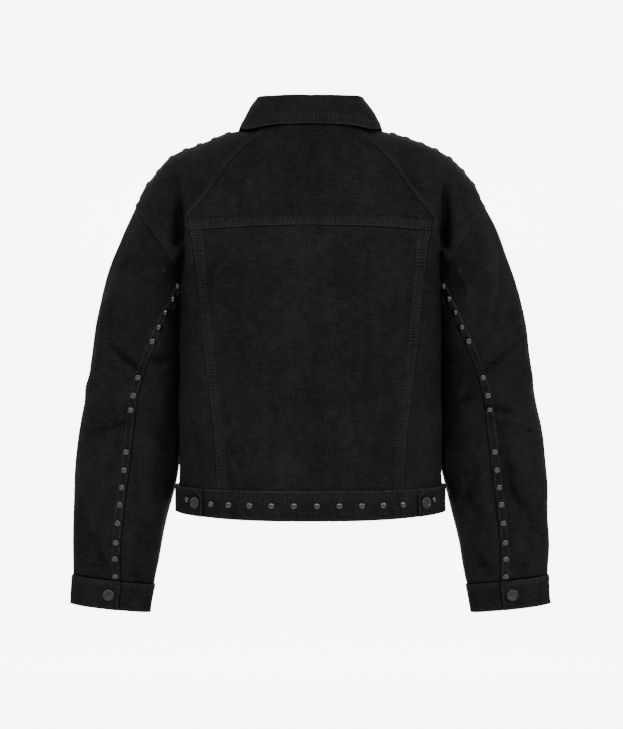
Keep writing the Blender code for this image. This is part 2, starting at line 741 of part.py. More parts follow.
def neckline(turn):
    """Points of the neck edge: 0 is the middle back, 90 the wearer's left, 180 the middle front."""
    angle = np.radians(np.abs(turn))
    x = NECK_HALF * np.sin(angle)
    back_z = NECK_BACK + (NECK_SIDE - NECK_BACK) * (x / NECK_HALF) ** 2
    front_z = NECK_FRONT + (NECK_SIDE - NECK_FRONT) * (1 + np.cos(angle))
    is_front = angle > np.pi / 2
    z = np.where(is_front, front_z, back_z)
    points = np.where(is_front[..., None], torso(x, z, True)[0], torso(x, z, False)[0])
    points[..., 0] *= np.sign(turn) + (turn == 0)
    return points


def collar_middle(turn, part):
    """Points in the middle of the collar's cloth; part is 0 at the foot and 1 at the leaf's edge."""
    turn, part = np.broadcast_arrays(np.asarray(turn, float), np.asarray(part, float))
    size = np.abs(turn)
    sign = np.where(turn < 0, -1.0, 1.0)
    angle = np.radians(size)
    foot = neckline(turn)
    foot[..., 2] += FOOT_LIFT
    foot -= unit(foot * np.array([1.0, 1.0, 0.0])) * CLOTH / 2
    depth = np.where(angle > np.pi / 2, FOLD_FRONT, FOLD_BACK)
    fold = np.stack([sign * FOLD_HALF * np.sin(angle), depth * np.cos(angle), curve(COLLAR_FOLD, 1, size)], -1)
    away = unit(fold * np.array([1.0, 1.0, 0.0]))
    edge = np.stack([sign * curve(LEAF_EDGE, 1, size), curve(LEAF_EDGE, 2, size), curve(LEAF_EDGE, 3, size)], -1)
    up = np.array([0.0, 0.0, 1.0])
    leaf_start = STAND_SHARE + FOLD_SHARE
    t_stand = np.clip(part / STAND_SHARE, 0.0, 1.0)[..., None]
    t_fold = np.clip((part - STAND_SHARE) / FOLD_SHARE, 0.0, 1.0)[..., None]
    t_leaf = np.clip((part - leaf_start) / (1 - leaf_start), 0.0, 1.0)[..., None]
    arc = np.pi * t_fold
    base = fold + away * FOLD_RADIUS
    leaf_top = fold + away * FOLD_RADIUS * 2
    turned_over = base + (-away * np.cos(arc) + up * np.sin(arc)) * FOLD_RADIUS
    stand = foot + (fold - foot) * t_stand
    bulge = (away + up) / 2 * LEAF_BULGE * np.sin(np.pi * t_leaf)
    leaf = leaf_top + (edge - leaf_top) * t_leaf + bulge
    chosen = np.where(t_leaf > 0, leaf, turned_over)
    return np.where(t_stand < 1, stand, chosen)


def collar(front_edge):
    """The stand and the turned-down leaf as one wall, with the fronts' own places on the neckline."""
    ahead = 180.0 - np.degrees(np.arcsin(np.clip(front_edge[:, 0] / NECK_HALF, 0.0, 1.0)))
    ahead = ahead[(ahead < COLLAR_END - 3.0) & (ahead > 90.5)][::-1]
    half = np.concatenate([np.linspace(0.0, 90.0, 9), ahead, [COLLAR_END]])
    turns = np.concatenate([-half[:0:-1], half])
    points = collar_middle(turns[None, :], np.array(COLLAR_PARTS)[:, None])
    across = np.gradient(points, axis=1)
    along = np.gradient(points, axis=0)
    out = unit(np.cross(along, across))
    outer = points + out * COLLAR_CLOTH / 2
    inner = points - out * COLLAR_CLOTH / 2
    vertices, triangles = wall(outer, inner)
    add_object("collar", vertices, triangles, DENIM, DENIM_ROUGHNESS, 0.0)


# ---- sleeve pieces ----


def top_sleeve_columns(along):
    """Places around the top sleeve: two columns bound the stud strip and the rest are even."""
    at_armhole = (SEAM_TURN - np.array(TOP_STOPS)) / (2 * SEAM_TURN)
    speed = np.linalg.norm(sleeve_place(0.02, along) - sleeve_place(0.0, along), axis=-1) / 0.02
    first = SEAM_EDGE / speed
    second = STRIP_END / speed
    rest = np.linspace(0.0, 1.0, len(TOP_STOPS) - 2)[None, :]
    even = second + (1 - second) * rest
    low = np.concatenate([np.zeros_like(first), first, even], axis=1)
    share = ease(along / 0.6)
    return at_armhole[None, :] * (1 - share) + low * share


def seat_armhole_edge(points, out, around):
    """Sets the first row half a gap beyond the armhole."""
    over = np.clip(around, 0.0, 1.0)
    under = np.clip(around, 1.0, 2.0) - 1.0
    turn = SEAM_TURN - 2 * SEAM_TURN * over - (360.0 - 2 * SEAM_TURN) * under
    edge, edge_out, sleeveward = armhole(turn)
    points[0] = edge + sleeveward * SEAM_GAP / 2
    out[0] = edge_out


def sleeve_top(name, mirror):
    """The sleeve's larger piece, from the back seam over the outer edge to the front seam."""
    along = np.array(ALONG)[:, None]
    along[-1] = len(SLEEVE) - 1e-6
    around = top_sleeve_columns(along)
    points, out = sleeve(around, along)
    seat_armhole_edge(points, out, around[0])
    points = draw_in(points, (False, True), (True, True))
    cloth(name, points, out, mirror=mirror)
    return points, out


def sleeve_under(name, mirror):
    """The sleeve's smaller piece, under the arm."""
    along = np.array(ALONG)[:, None]
    along[-1] = len(SLEEVE) - 1e-6
    around = np.linspace(1.0, 2.0, UNDER_CELLS + 1)[None, :]
    points, out = sleeve(around, along)
    seat_armhole_edge(points, out, around[0])
    points = draw_in(points, (False, True), (True, True))
    cloth(name, points, out, mirror=mirror)


def strip(name, points, out, mirror):
    """A lapped seam edge: two columns of a panel moved out."""
    lower = points + out * SEAM_GAP
    upper = points + out * (SEAM_GAP + STRIP_CLOTH)
    if mirror:
        lower = mirrored(lower)
        upper = mirrored(upper)
    vertices, triangles = wall(upper, lower)
    return add_object(name, vertices, triangles, DENIM, DENIM_ROUGHNESS, 0.0)


def strip_studs(carrier, points, out, column, places, mirror):
    """Studs along the middle of a strip, at places read from one coordinate."""
    middle = (points[:, 0] + points[:, 1]) / 2
    lean = unit(out[:, 0] + out[:, 1])
    order = np.argsort(middle[:, column])
    key = middle[order, column]
    centres = np.stack([np.interp(places, key, middle[order, k]) for k in range(3)], axis=-1)
    outs = unit(np.stack([np.interp(places, key, lean[order, k]) for k in range(3)], axis=-1))
    centres = centres + outs * (SEAM_GAP + STRIP_CLOTH)
    if mirror:
        centres = mirrored(centres)
        outs = mirrored(outs)
    fuse_studs(carrier, centres, outs)


def sleeve_stud_strip(name, points, out, mirror):
    """The lapped edge beside the back sleeve seam, with its sixteen studs."""
    grid = points[1:, 1:3].copy()
    grid_out = out[1:, 1:3]
    grid[-1] += (grid[-2] - grid[-1]) * 0.02
    carrier = strip(name, grid, grid_out, mirror)
    strip_studs(carrier, grid, grid_out, 2, np.array(SLEEVE_STUDS), mirror)


def shoulder_stud_strip(name, points, out, mirror):
    """The lapped edge behind the shoulder seam, with its seven studs."""
    first = len(SEAM_ROWS_LOW) + len(BACK_ROWS) - 1
    rows = slice(first + 1, first + len(RIDGE_ROWS))
    ridge, ridge_out = points[rows, -1], out[rows, -1]
    back, back_out = points[rows, -2], out[rows, -2]
    shares = np.array([0.04, 0.96])[None, :, None]
    grid = back[:, None] * (1 - shares) + ridge[:, None] * shares
    grid_out = unit(back_out[:, None] * (1 - shares) + ridge_out[:, None] * shares)
    carrier = strip(name, grid, grid_out, mirror)
    strip_studs(carrier, grid, grid_out, 0, np.array(SHOULDER_STUDS), mirror)


# ---- waistband, cuffs and tabs ----


def band_point(turn, height, lift):
    """Points and outward directions on the waistband: turn 0 is the middle back, height 0 to 1."""
    turn, height, lift = np.broadcast_arrays(np.asarray(turn, float), height, lift)
    sin = np.sin(np.radians(turn))
    cos = np.cos(np.radians(turn))
    power = 2.0 / ROUNDING
    x = BAND_HALF * np.sign(sin) * np.abs(sin) ** power
    depth = np.where(cos < 0, BAND_FRONT, BAND_BACK)
    y = depth * np.sign(cos) * np.abs(cos) ** power
    out = np.stack([
        np.sign(sin) * (np.abs(x) / BAND_HALF) ** (ROUNDING - 1) / BAND_HALF,
        np.sign(cos) * (np.abs(y) / depth) ** (ROUNDING - 1) / depth,
        np.zeros_like(x),
    ], axis=-1)
    out = unit(out)
    side = sin**2
    top = np.where(cos < 0, BAND_TOP_FRONT, BAND_TOP_BACK) * (1 - side) + BAND_TOP_SIDE * side - SEAM_GAP
    foot = np.where(cos < 0, BAND_FOOT_FRONT, BAND_FOOT_BACK) * (1 - side) + BAND_FOOT_SIDE * side
    points = np.stack([x, y, foot + (top - foot) * height], axis=-1)
    return points + out * lift[..., None], out


def band_lift(turn):
    """How far the waistband stands out where its wearer's-right end laps over the left one."""
    return BAND_LIFT * ease((-turn - 146.0) / 20.0)


def waistband():
    """The band wrapped round the foot of the torso, with its studs riveted across the back."""
    turns = np.linspace(180.0 + BAND_LAP, -180.0 - BAND_LAP, BAND_CELLS + 1)[None, :]
    heights = np.array([0.0, 1.0])[:, None]
    points, out = band_point(turns, heights, band_lift(turns))
    inner = points - out * BAND_CLOTH
    vertices, triangles = wall(points, inner)
    made = add_object("waistband", vertices, triangles, DENIM, DENIM_ROUGHNESS, 0.0)
    stops = np.array(BAND_STUDS)
    turn = np.degrees(np.arcsin((np.abs(stops) / BAND_HALF) ** (ROUNDING / 2))) * np.sign(stops)
    centres, outs = band_point(turn, BAND_STUD_HEIGHT, 0.0)
    fuse_studs(made, centres, outs)


def tab(name, mirror):
    """A waist tab on the waistband: the upper corner of its tip is rounded, and it carries a stud."""
    share = np.array([s for s, _ in TAB_OUTLINE])[None, :]
    size = np.array([h for _, h in TAB_OUTLINE])[None, :]
    turns = TAB_TIP + (TAB_END - TAB_TIP) * share
    heights = np.linspace(0.0, 1.0, 5)[:, None] * size
    points, out = band_point(turns, heights, TAB_LIFT + TAB_CLOTH)
    carrier = cloth(name, points, out, TAB_CLOTH, mirror)
    centre, lean = band_point(TAB_STUD, TAB_STUD_HEIGHT, TAB_LIFT + TAB_CLOTH)
    if mirror:
        centre = mirrored(centre)
        lean = mirrored(lean)
    fuse_studs(carrier, [centre], [lean])


def tab_button(name, mirror):
    """The button near a tab's tip."""
    centre, out = band_point(TAB_BUTTON, 0.5, TAB_LIFT + TAB_CLOTH)
    if mirror:
        centre = mirrored(centre)
        out = mirrored(out)
    button(name, centre, out)


def cuff_point(angle, height, lift):
    """Points and outward directions on the cuff: angle 0 is the outer edge, 90 the back."""
    angle, height, lift = np.broadcast_arrays(np.asarray(angle, float), height, lift)
    cos = np.cos(np.radians(angle))
    sin = np.sin(np.radians(angle))
    ends = []
    for outer_x, outer_z, inner_x, inner_z, middle_y, half_depth in (SLEEVE[-1][:6], CUFF_FOOT):
        x = (outer_x + inner_x) / 2 + (outer_x - inner_x) / 2 * cos
        z = (outer_z + inner_z) / 2 + (outer_z - inner_z) / 2 * cos
        ends.append(np.stack([x, middle_y + half_depth * sin, z], axis=-1))
    top, foot = ends
    outer_x, _, inner_x, _, _, half_depth = SLEEVE[-1][:6]
    out = unit(np.stack([cos / (outer_x - inner_x) * 2, sin / half_depth, np.zeros_like(cos)], axis=-1))
    down = unit(foot - top)
    top = top + down * SEAM_GAP * 1.5
    points = foot + (top - foot) * height[..., None]
    return points + out * (lift + CUFF_GROW)[..., None], out


def cuff(name, mirror):
    """A cuff wrapped once round, whose top end stands out over the one below it."""
    angles = np.linspace(CUFF_LAP_EDGE, CUFF_LAP_EDGE - 360.0 - CUFF_LAP, CUFF_CELLS + 1)[None, :]
    lift = CUFF_LIFT * (1 - ease((CUFF_LAP_EDGE - CUFF_LAP - 6.0 - angles) / 40.0))
    points, out = cuff_point(angles, np.array([0.0, 1.0])[:, None], lift)
    cloth(name, points, out, BAND_CLOTH, mirror)


def cuff_button(name, mirror):
    """The button near the edge of a cuff's lap."""
    centre, out = cuff_point(CUFF_BUTTON, BUTTON_SHARE, CUFF_LIFT + SEAM_GAP)
    if mirror:
        centre = mirrored(centre)
        out = mirrored(out)
    button(name, centre, out)


def front_buttons(points, out):
    """Four buttons down the placket and one on the waistband's lap."""
    middle = points[:, 1]
    lean = out[:, 1]
    for number, height in enumerate(FRONT_BUTTONS, start=1):
        centre = np.array([np.interp(height, middle[:, 2], middle[:, k]) for k in range(3)])
        tilt = unit(np.array([np.interp(height, middle[:, 2], lean[:, k]) for k in range(3)]))
        button(f"front_button_{number}", centre, tilt)
    centre, tilt = band_point(-180.0, 0.5, BAND_LIFT)
    button("front_button_5", centre, tilt)


def main():
    """Clears the scene and makes every piece of the jacket."""
    for old in list(bpy.data.objects):
        bpy.data.objects.remove(old, do_unlink=True)
    back_yoke()
    back_panel()
    waistband()
    for side, mirror in (("L", False), ("R", True)):
        back_points, back_out = back_side(f"back_side_{side}", mirror)
        front_points, front_out = front(f"front_{side}", mirror)
        top_points, top_out = sleeve_top(f"sleeve_top_{side}", mirror)
        sleeve_under(f"sleeve_under_{side}", mirror)
        sleeve_stud_strip(f"sleeve_stud_strip_{side}", top_points, top_out, mirror)
        shoulder_stud_strip(f"shoulder_stud_strip_{side}", back_points, back_out, mirror)
        cuff(f"cuff_{side}", mirror)
        cuff_button(f"cuff_button_{side}", mirror)
        tab(f"tab_{side}", mirror)
        tab_button(f"tab_button_{side}", mirror)
    collar(front_points[-1])
    placket_points, placket_out = placket(front_points, front_out)
    front_buttons(placket_points, placket_out)


main()
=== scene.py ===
# %% [markdown]
# # A cropped black denim jacket
#
# The jacket hangs in the air as if worn: a back yoke, a back panel, two long side pieces, two
# fronts, two-piece sleeves, cuffs, a waistband with tabs, and a turned-down collar. Studs run along
# the shoulders, the sleeve seams and the waistband. The fixed model is read from model.glb.
# Each piece of cloth is worked out again here as a finer surface, with its seams, puckers and
# creases, and takes the place of the plain solid.

import bpy
import numpy as np
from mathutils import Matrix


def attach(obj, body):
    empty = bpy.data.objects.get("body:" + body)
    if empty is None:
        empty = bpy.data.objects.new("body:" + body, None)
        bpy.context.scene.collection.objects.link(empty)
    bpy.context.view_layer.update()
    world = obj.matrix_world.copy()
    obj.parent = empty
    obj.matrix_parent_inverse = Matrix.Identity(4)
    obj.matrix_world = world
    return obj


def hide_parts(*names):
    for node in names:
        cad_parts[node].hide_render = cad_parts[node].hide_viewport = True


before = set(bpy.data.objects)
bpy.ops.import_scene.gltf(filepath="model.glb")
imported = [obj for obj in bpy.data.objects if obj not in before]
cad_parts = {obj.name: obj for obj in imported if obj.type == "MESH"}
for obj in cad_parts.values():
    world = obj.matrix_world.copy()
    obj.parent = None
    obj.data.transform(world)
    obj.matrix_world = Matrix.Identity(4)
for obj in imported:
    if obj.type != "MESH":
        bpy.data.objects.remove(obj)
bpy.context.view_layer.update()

print("solid pieces:", len(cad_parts))

# %% [markdown]
# ## Tables of the jacket's form
#
# The torso is a stack of rounded level sections, closed over by the shoulder ridge. The sleeve is a
# row of ovals from the armhole to the cuff. Short tables hold the sizes, in metres, because a
# reader can change one number and see the whole piece follow.

# %% Sizes of the torso, the seams and the sleeve
CLOTH = 0.0020
BAND_CLOTH = 0.0030
COLLAR_CLOTH = 0.0024
TAB_CLOTH = 0.0024
SEAM_GAP = 0.0003
ROUNDING = 2.7
SHOULDER_ARCH = 0.120

# height, half width, depth of the back, depth of the front
TORSO = (
    (-0.505, 0.1866, 0.1245, 0.1285), (-0.480, 0.1852, 0.1238, 0.1290),
    (-0.400, 0.1855, 0.1238, 0.1305), (-0.311, 0.1857, 0.1226, 0.1310), (-0.252, 0.1858, 0.1218, 0.1303),
    (-0.235, 0.1860, 0.1216, 0.1300), (-0.220, 0.1900, 0.1212, 0.1295),
    (-0.205, 0.2040, 0.1208, 0.1285), (-0.190, 0.2340, 0.1204, 0.1275),
    (-0.170, 0.2600, 0.1194, 0.1260), (-0.140, 0.2620, 0.1170, 0.1200),
    (-0.100, 0.2620, 0.1115, 0.1040), (-0.060, 0.2620, 0.1035, 0.0860),
    (-0.020, 0.2620, 0.0900, 0.0760), (0.005, 0.2620, 0.0745, 0.0700),
)
# shoulder ridge: distance from the middle, height
RIDGE = (
    (0.000, 0.060), (0.040, 0.040), (0.063, 0.016), (0.080, 0.003), (0.107, -0.004),
    (0.121, -0.007), (0.140, -0.014), (0.162, -0.022), (0.181, -0.030), (0.205, -0.047),
    (0.219, -0.064), (0.232, -0.081), (0.241, -0.098), (0.247, -0.108), (0.262, -0.142),
)
# raglan seam and the panel seam below it: height, distance from the middle
SIDE_SEAM_IN = (
    (-0.505, 0.1275), (-0.449, 0.1300), (-0.3116, 0.1462), (-0.200, 0.1572), (-0.165, 0.1612),
    (-0.1475, 0.1660), (-0.1345, 0.1702), (-0.1225, 0.1645), (-0.107, 0.1507), (-0.079, 0.1300),
    (-0.049, 0.1100), (-0.021, 0.0840), (0.002, 0.0610),
)
# armhole seen from behind: turn from the shoulder tip to the underarm, distance out, height
ARMHOLE = (
    (0.0, 0.2470, -0.1080), (30.0, 0.2425, -0.1160), (60.0, 0.2300, -0.1340),
    (96.0, 0.2110, -0.1590), (130.0, 0.1940, -0.1830), (155.0, 0.1855, -0.2080),
    (180.0, 0.1860, -0.2350),
)
CREASE_START = 130.0
CREASE_END = 172.0
# outer x, outer z, inner x, inner z, middle y, half depth, back seam turn, front seam turn, squareness
SLEEVE = (
    (0.3045, -0.2700, 0.1850, -0.2700, -0.018, 0.083, 136.0, 205.0, 3.0),
    (0.3125, -0.3200, 0.1847, -0.3200, -0.024, 0.079, 113.0, 212.0, 2.8),
    (0.3205, -0.3710, 0.1846, -0.3710, -0.030, 0.072, 100.0, 218.0, 2.6),
    (0.3305, -0.4230, 0.1847, -0.4230, -0.034, 0.064, 97.0, 222.0, 2.6),
    (0.3380, -0.4750, 0.1874, -0.4750, -0.037, 0.058, 95.6, 224.0, 2.5),
    (0.3412, -0.5430, 0.2040, -0.5450, -0.040, 0.050, 96.4, 226.0, 2.4),
    (0.3418, -0.6040, 0.2175, -0.6080, -0.042, 0.040, 98.0, 228.0, 2.2),
    (0.3420, -0.6330, 0.2247, -0.6470, -0.043, 0.030, 101.8, 230.0, 2.0),
)
CUFF_FOOT = (0.3450, -0.6750, 0.2317, -0.6880, -0.044, 0.0255)
SEAM_TURN = 162.0
FOLD_SCALE = 1.7
YOKE_MIDDLE = -0.1404
YOKE_CORNER = -0.1475
NECK_HALF = 0.0800
NECK_BACK = 0.0020
NECK_SIDE = 0.0030
NECK_FRONT = -0.0720
# waistband: half width, depths, and the heights of its edges behind, at the side and in front
BAND_HALF = 0.1882
BAND_BACK = 0.1275
BAND_FRONT = 0.1315
BAND_TOP = (-0.5040, -0.5010, -0.5030)
BAND_FOOT = (-0.5455, -0.5370, -0.5430)
BAND_LAP = 8.0
BAND_LIFT = 0.0037

# Rows that the side pieces and the fronts share with their neighbours
SEAM_ROWS_LOW = (-0.505, -0.470, -0.430, -0.390, -0.350, -0.310, -0.270, -0.235)
BACK_TURNS = (180.0, 173.5, 167.0, 160.5, 154.0, 151.0, 141.0, 126.0, 105.0, 84.0, 63.0, 42.0, 21.0, 0.0)
BACK_INNER = (-0.235, -0.229, -0.223, -0.217, -0.211, -0.207, -0.197, -0.182, -0.162, -0.1475, -0.136,
              -0.1245, -0.113, -0.100)
FRONT_TURNS = (180.0, 173.5, 167.0, 160.5, 154.0, 126.0, 105.0, 84.0, 63.0, 42.0, 21.0, 0.0)
RIDGE_OUT = (0.247, 0.240, 0.229, 0.212, 0.188, 0.160, 0.131, 0.104, 0.080)
RIDGE_INNER = (-0.100, -0.087, -0.073, -0.058, -0.044, -0.031, -0.019, -0.008, 0.002)

# %% [markdown]
# ## Small tools for curves
#
# Every table is read through the same smooth curve, so the pieces stay soft between the rows. A
# straight-line reading would be simpler, but it would leave a kink at each row.

# %% Curves and steps
def curve(table, column, at):
    """Cubic through one column of a table: value and slope agree where two rows meet."""
    rows = np.array(sorted(table), dtype=float)
    place, value = rows[:, 0], rows[:, column]
    slope = np.gradient(value, place)
    at = np.clip(at, place[0], place[-1])
    low = np.clip(np.searchsorted(place, at, side="right") - 1, 0, len(place) - 2)
    span = place[low + 1] - place[low]
    t = (at - place[low]) / span
    return (value[low] * (2 * t**3 - 3 * t**2 + 1) + slope[low] * span * (t**3 - 2 * t**2 + t)
            + value[low + 1] * (3 * t**2 - 2 * t**3) + slope[low + 1] * span * (t**3 - t**2))


def ease(t):
    """Smooth step: 3 t squared minus 2 t cubed, held at 0 and 1 outside."""
    t = np.clip(t, 0.0, 1.0)
    return t * t * (3 - 2 * t)


def unit(v):
    """Each vector divided by its own length."""
    return v / np.maximum(np.linalg.norm(v, axis=-1, keepdims=True), 1e-12)


def bell(t):
    """A bump that is 1 in the middle: e to the power of minus t squared."""
    return np.exp(-np.square(t))


# %% [markdown]
# ## Creases laid by hand
#
# On a worn jacket the cloth breaks where the arm bends and where the sleeve hangs from the
# shoulder. Cloth simulation could find such folds, but not these ones, so each main crease is a
# short path with a depth, a width on either side, and nothing else. A crease that is steep on one
# side and slow on the other reads as cloth that has been pushed, not as a groove.

# %% A crease, and the tables of creases
def crease_height(table, x, z):
    """Sum of creases. Each follows a path; its height is depth times a bell of the distance from the
    path, with its own width to the left and to the right of the path's direction."""
    total = np.zeros(np.broadcast(x, z).shape)
    for path, left, right in table:
        path = np.array(path, dtype=float)
        best = np.full(total.shape, 1e9)
        side = np.zeros(total.shape)
        deep = np.zeros(total.shape)
        for start, end in zip(path[:-1], path[1:]):
            run = end[:2] - start[:2]
            t = np.clip(((x - start[0]) * run[0] + (z - start[1]) * run[1]) / run.dot(run), 0.0, 1.0)
            gap_x = x - start[0] - t * run[0]
            gap_z = z - start[1] - t * run[1]
            away = np.hypot(gap_x, gap_z)
            nearer = away < best
            best = np.where(nearer, away, best)
            side = np.where(nearer, run[0] * gap_z - run[1] * gap_x, side)
            deep = np.where(nearer, start[2] + (end[2] - start[2]) * t, deep)
        total = total + deep * bell(best / np.where(side > 0, left, right))
    return total


# Each row: path of (x, z, depth), width on the left of the path, width on its right.
# The trough under each shoulder falls slowly from the sleeve and steeply against the body.
SHOULDER_TROUGH_L = ((0.1875, -0.052, 0.0), (0.1812, -0.100, -0.010), (0.1780, -0.139, -0.020),
                     (0.1760, -0.167, -0.026), (0.1785, -0.192, -0.025), (0.1835, -0.212, -0.018))
SHOULDER_TROUGH_R = ((-0.1910, -0.056, 0.0), (-0.1866, -0.084, -0.009), (-0.1840, -0.126, -0.020),
                     (-0.1818, -0.153, -0.026), (-0.1815, -0.185, -0.026), (-0.1840, -0.210, -0.018))
BACK_CREASES = (
    (SHOULDER_TROUGH_L, 0.0125, 0.0052),
    (SHOULDER_TROUGH_R, 0.0052, 0.0100),
    (((0.216, -0.060, 0.001), (0.208, -0.120, 0.004), (0.200, -0.160, 0.001)), 0.012, 0.010),
    (((-0.222, -0.070, 0.001), (-0.212, -0.125, 0.004), (-0.203, -0.160, 0.001)), 0.009, 0.013),
    (((0.1935, -0.190, 0.0060), (0.1850, -0.180, 0.0200), (0.1735, -0.162, 0.0120)), 0.0062, 0.0055),
    (((-0.1935, -0.189, 0.0060), (-0.1850, -0.178, 0.0200), (-0.1765, -0.162, 0.0120)), 0.0055, 0.0062),
    (((0.1690, -0.128, 0.0), (0.1650, -0.165, 0.0030), (0.1660, -0.205, 0.0010)), 0.0070, 0.0085),
    (((-0.1720, -0.110, 0.0), (-0.1700, -0.150, 0.0030), (-0.1690, -0.205, 0.0010)), 0.0085, 0.0070),
    (((0.150, -0.105, 0.0), (0.168, -0.140, 0.0016)), 0.010, 0.014),
    (((0.080, -0.235, 0.0022), (0.060, -0.430, 0.0030)), 0.030, 0.034),
    (((0.120, -0.200, -0.0022), (0.105, -0.400, -0.0026)), 0.016, 0.020),
    (((0.138, -0.2995, -0.0006), (0.108, -0.3025, -0.0010), (0.079, -0.3020, 0.0)), 0.0030, 0.0060),
    (((0.0765, -0.345, -0.0008), (0.050, -0.340, 0.0)), 0.0040, 0.0040),
    (((-0.070, -0.205, 0.0), (-0.0765, -0.260, -0.0011), (-0.090, -0.329, -0.0012),
      (-0.104, -0.334, 0.0)), 0.0075, 0.0055),
    (((0.126, -0.395, -0.0006), (0.112, -0.440, -0.0014), (0.096, -0.477, -0.0011)), 0.009, 0.012),
    (((-0.118, -0.372, 0.0), (-0.108, -0.430, -0.0012), (-0.084, -0.478, -0.0011)), 0.012, 0.009),
    (((0.078, -0.487, -0.0009), (0.052, -0.493, -0.0012), (0.026, -0.498, 0.0)), 0.0040, 0.0060),
    (((-0.040, -0.494, 0.0), (-0.066, -0.490, -0.0011), (-0.094, -0.483, -0.0007)), 0.0060, 0.0040),
    (((-0.020, -0.440, 0.0), (-0.026, -0.350, 0.0016), (-0.020, -0.250, 0.0)), 0.040, 0.036),
    (((0.178, -0.300, 0.0), (0.165, -0.330, -0.0015), (0.158, -0.372, 0.0)), 0.008, 0.010),
    (((-0.180, -0.310, 0.0), (-0.170, -0.345, -0.0014), (-0.160, -0.395, 0.0)), 0.010, 0.008),
    (((0.172, -0.420, -0.0010), (0.150, -0.470, -0.0016)), 0.010, 0.012),
    (((-0.174, -0.430, -0.0010), (-0.152, -0.476, -0.0014)), 0.012, 0.010),
)
# The same rows serve both fronts, seen square on.
FRONT_CREASES = (
    (((0.193, -0.070, 0.0), (0.187, -0.140, -0.0085), (0.183, -0.205, -0.0140)), 0.017, 0.010),
    (((-0.193, -0.070, 0.0), (-0.187, -0.140, -0.0085), (-0.183, -0.205, -0.0140)), 0.010, 0.017),
    (((0.095, -0.155, 0.0), (0.128, -0.195, -0.0036), (0.160, -0.232, -0.0028)), 0.012, 0.018),
    (((-0.085, -0.150, 0.0), (-0.120, -0.200, -0.0034), (-0.160, -0.240, -0.0030)), 0.018, 0.012),
    (((0.110, -0.280, 0.0022), (0.100, -0.450, 0.0032)), 0.024, 0.028),
    (((-0.104, -0.290, 0.0022), (-0.098, -0.450, 0.0032)), 0.028, 0.022),
    (((0.060, -0.300, -0.0012), (0.052, -0.420, -0.0016)), 0.012, 0.016),
    (((-0.066, -0.270, -0.0012), (-0.058, -0.400, -0.0016)), 0.016, 0.012),
    (((0.150, -0.440, -0.0012), (0.128, -0.485, -0.0014)), 0.008, 0.012),
    (((-0.160, -0.420, -0.0012), (-0.132, -0.480, -0.0014)), 0.012, 0.008),
)
# Sleeves, seen from behind, as distances from the middle. The wearer's left is the first table.
SLEEVE_CREASES_L = (
    (((0.286, -0.300, 0.0), (0.2825, -0.304, -0.0024), (0.260, -0.3235, -0.0038),
      (0.2394, -0.3425, -0.0026)), 0.0024, 0.0050),
    (((0.290, -0.312, 0.0), (0.270, -0.328, 0.0020), (0.247, -0.346, 0.0016)), 0.0080, 0.0040),
    (((0.2450, -0.286, 0.0), (0.2445, -0.312, 0.0020), (0.2390, -0.338, 0.0014)), 0.0060, 0.0050),
    (((0.262, -0.378, 0.0050), (0.312, -0.366, 0.0036)), 0.020, 0.018),
    (((0.3150, -0.4225, 0.0), (0.3096, -0.4215, 0.0014), (0.288, -0.4155, 0.0024),
      (0.2560, -0.4070, 0.0016)), 0.0070, 0.0026),
    (((0.3150, -0.4290, -0.0008), (0.288, -0.4235, -0.0034), (0.2560, -0.4130, -0.0030)), 0.0024, 0.0052),
    (((0.2720, -0.434, 0.0010), (0.297, -0.470, 0.0036), (0.3190, -0.505, 0.0018)), 0.012, 0.011),
    (((0.2790, -0.514, 0.0010), (0.300, -0.546, 0.0034), (0.3210, -0.576, 0.0014)), 0.011, 0.012),
    (((0.316, -0.566, 0.0), (0.3054, -0.589, -0.0022), (0.294, -0.615, -0.0024)), 0.0045, 0.0060),
    (((0.3225, -0.6154, -0.0016), (0.306, -0.620, -0.0026), (0.2883, -0.6231, -0.0018)), 0.0040, 0.0050),
    (((0.2280, -0.3150, 0.0016), (0.210, -0.308, 0.0026), (0.194, -0.300, 0.0)), 0.0070, 0.0100),
    (((0.2260, -0.3300, -0.0010), (0.208, -0.324, -0.0032), (0.192, -0.318, -0.0010)), 0.0080, 0.0060),
    (((0.2580, -0.558, -0.0006), (0.247, -0.574, -0.0026), (0.236, -0.590, -0.0010)), 0.0044, 0.0040),
    (((0.2560, -0.600, 0.0), (0.252, -0.622, -0.0024), (0.246, -0.640, -0.0020)), 0.0060, 0.0080),
    (((0.2150, -0.430, 0.0), (0.226, -0.480, 0.0030), (0.240, -0.535, 0.0010)), 0.014, 0.012),
    (((0.2330, -0.236, 0.0), (0.2560, -0.262, -0.0016), (0.2830, -0.278, 0.0)), 0.012, 0.014),
    (((0.2600, -0.175, 0.0), (0.2680, -0.220, 0.0022), (0.2700, -0.270, 0.0)), 0.012, 0.012),
)
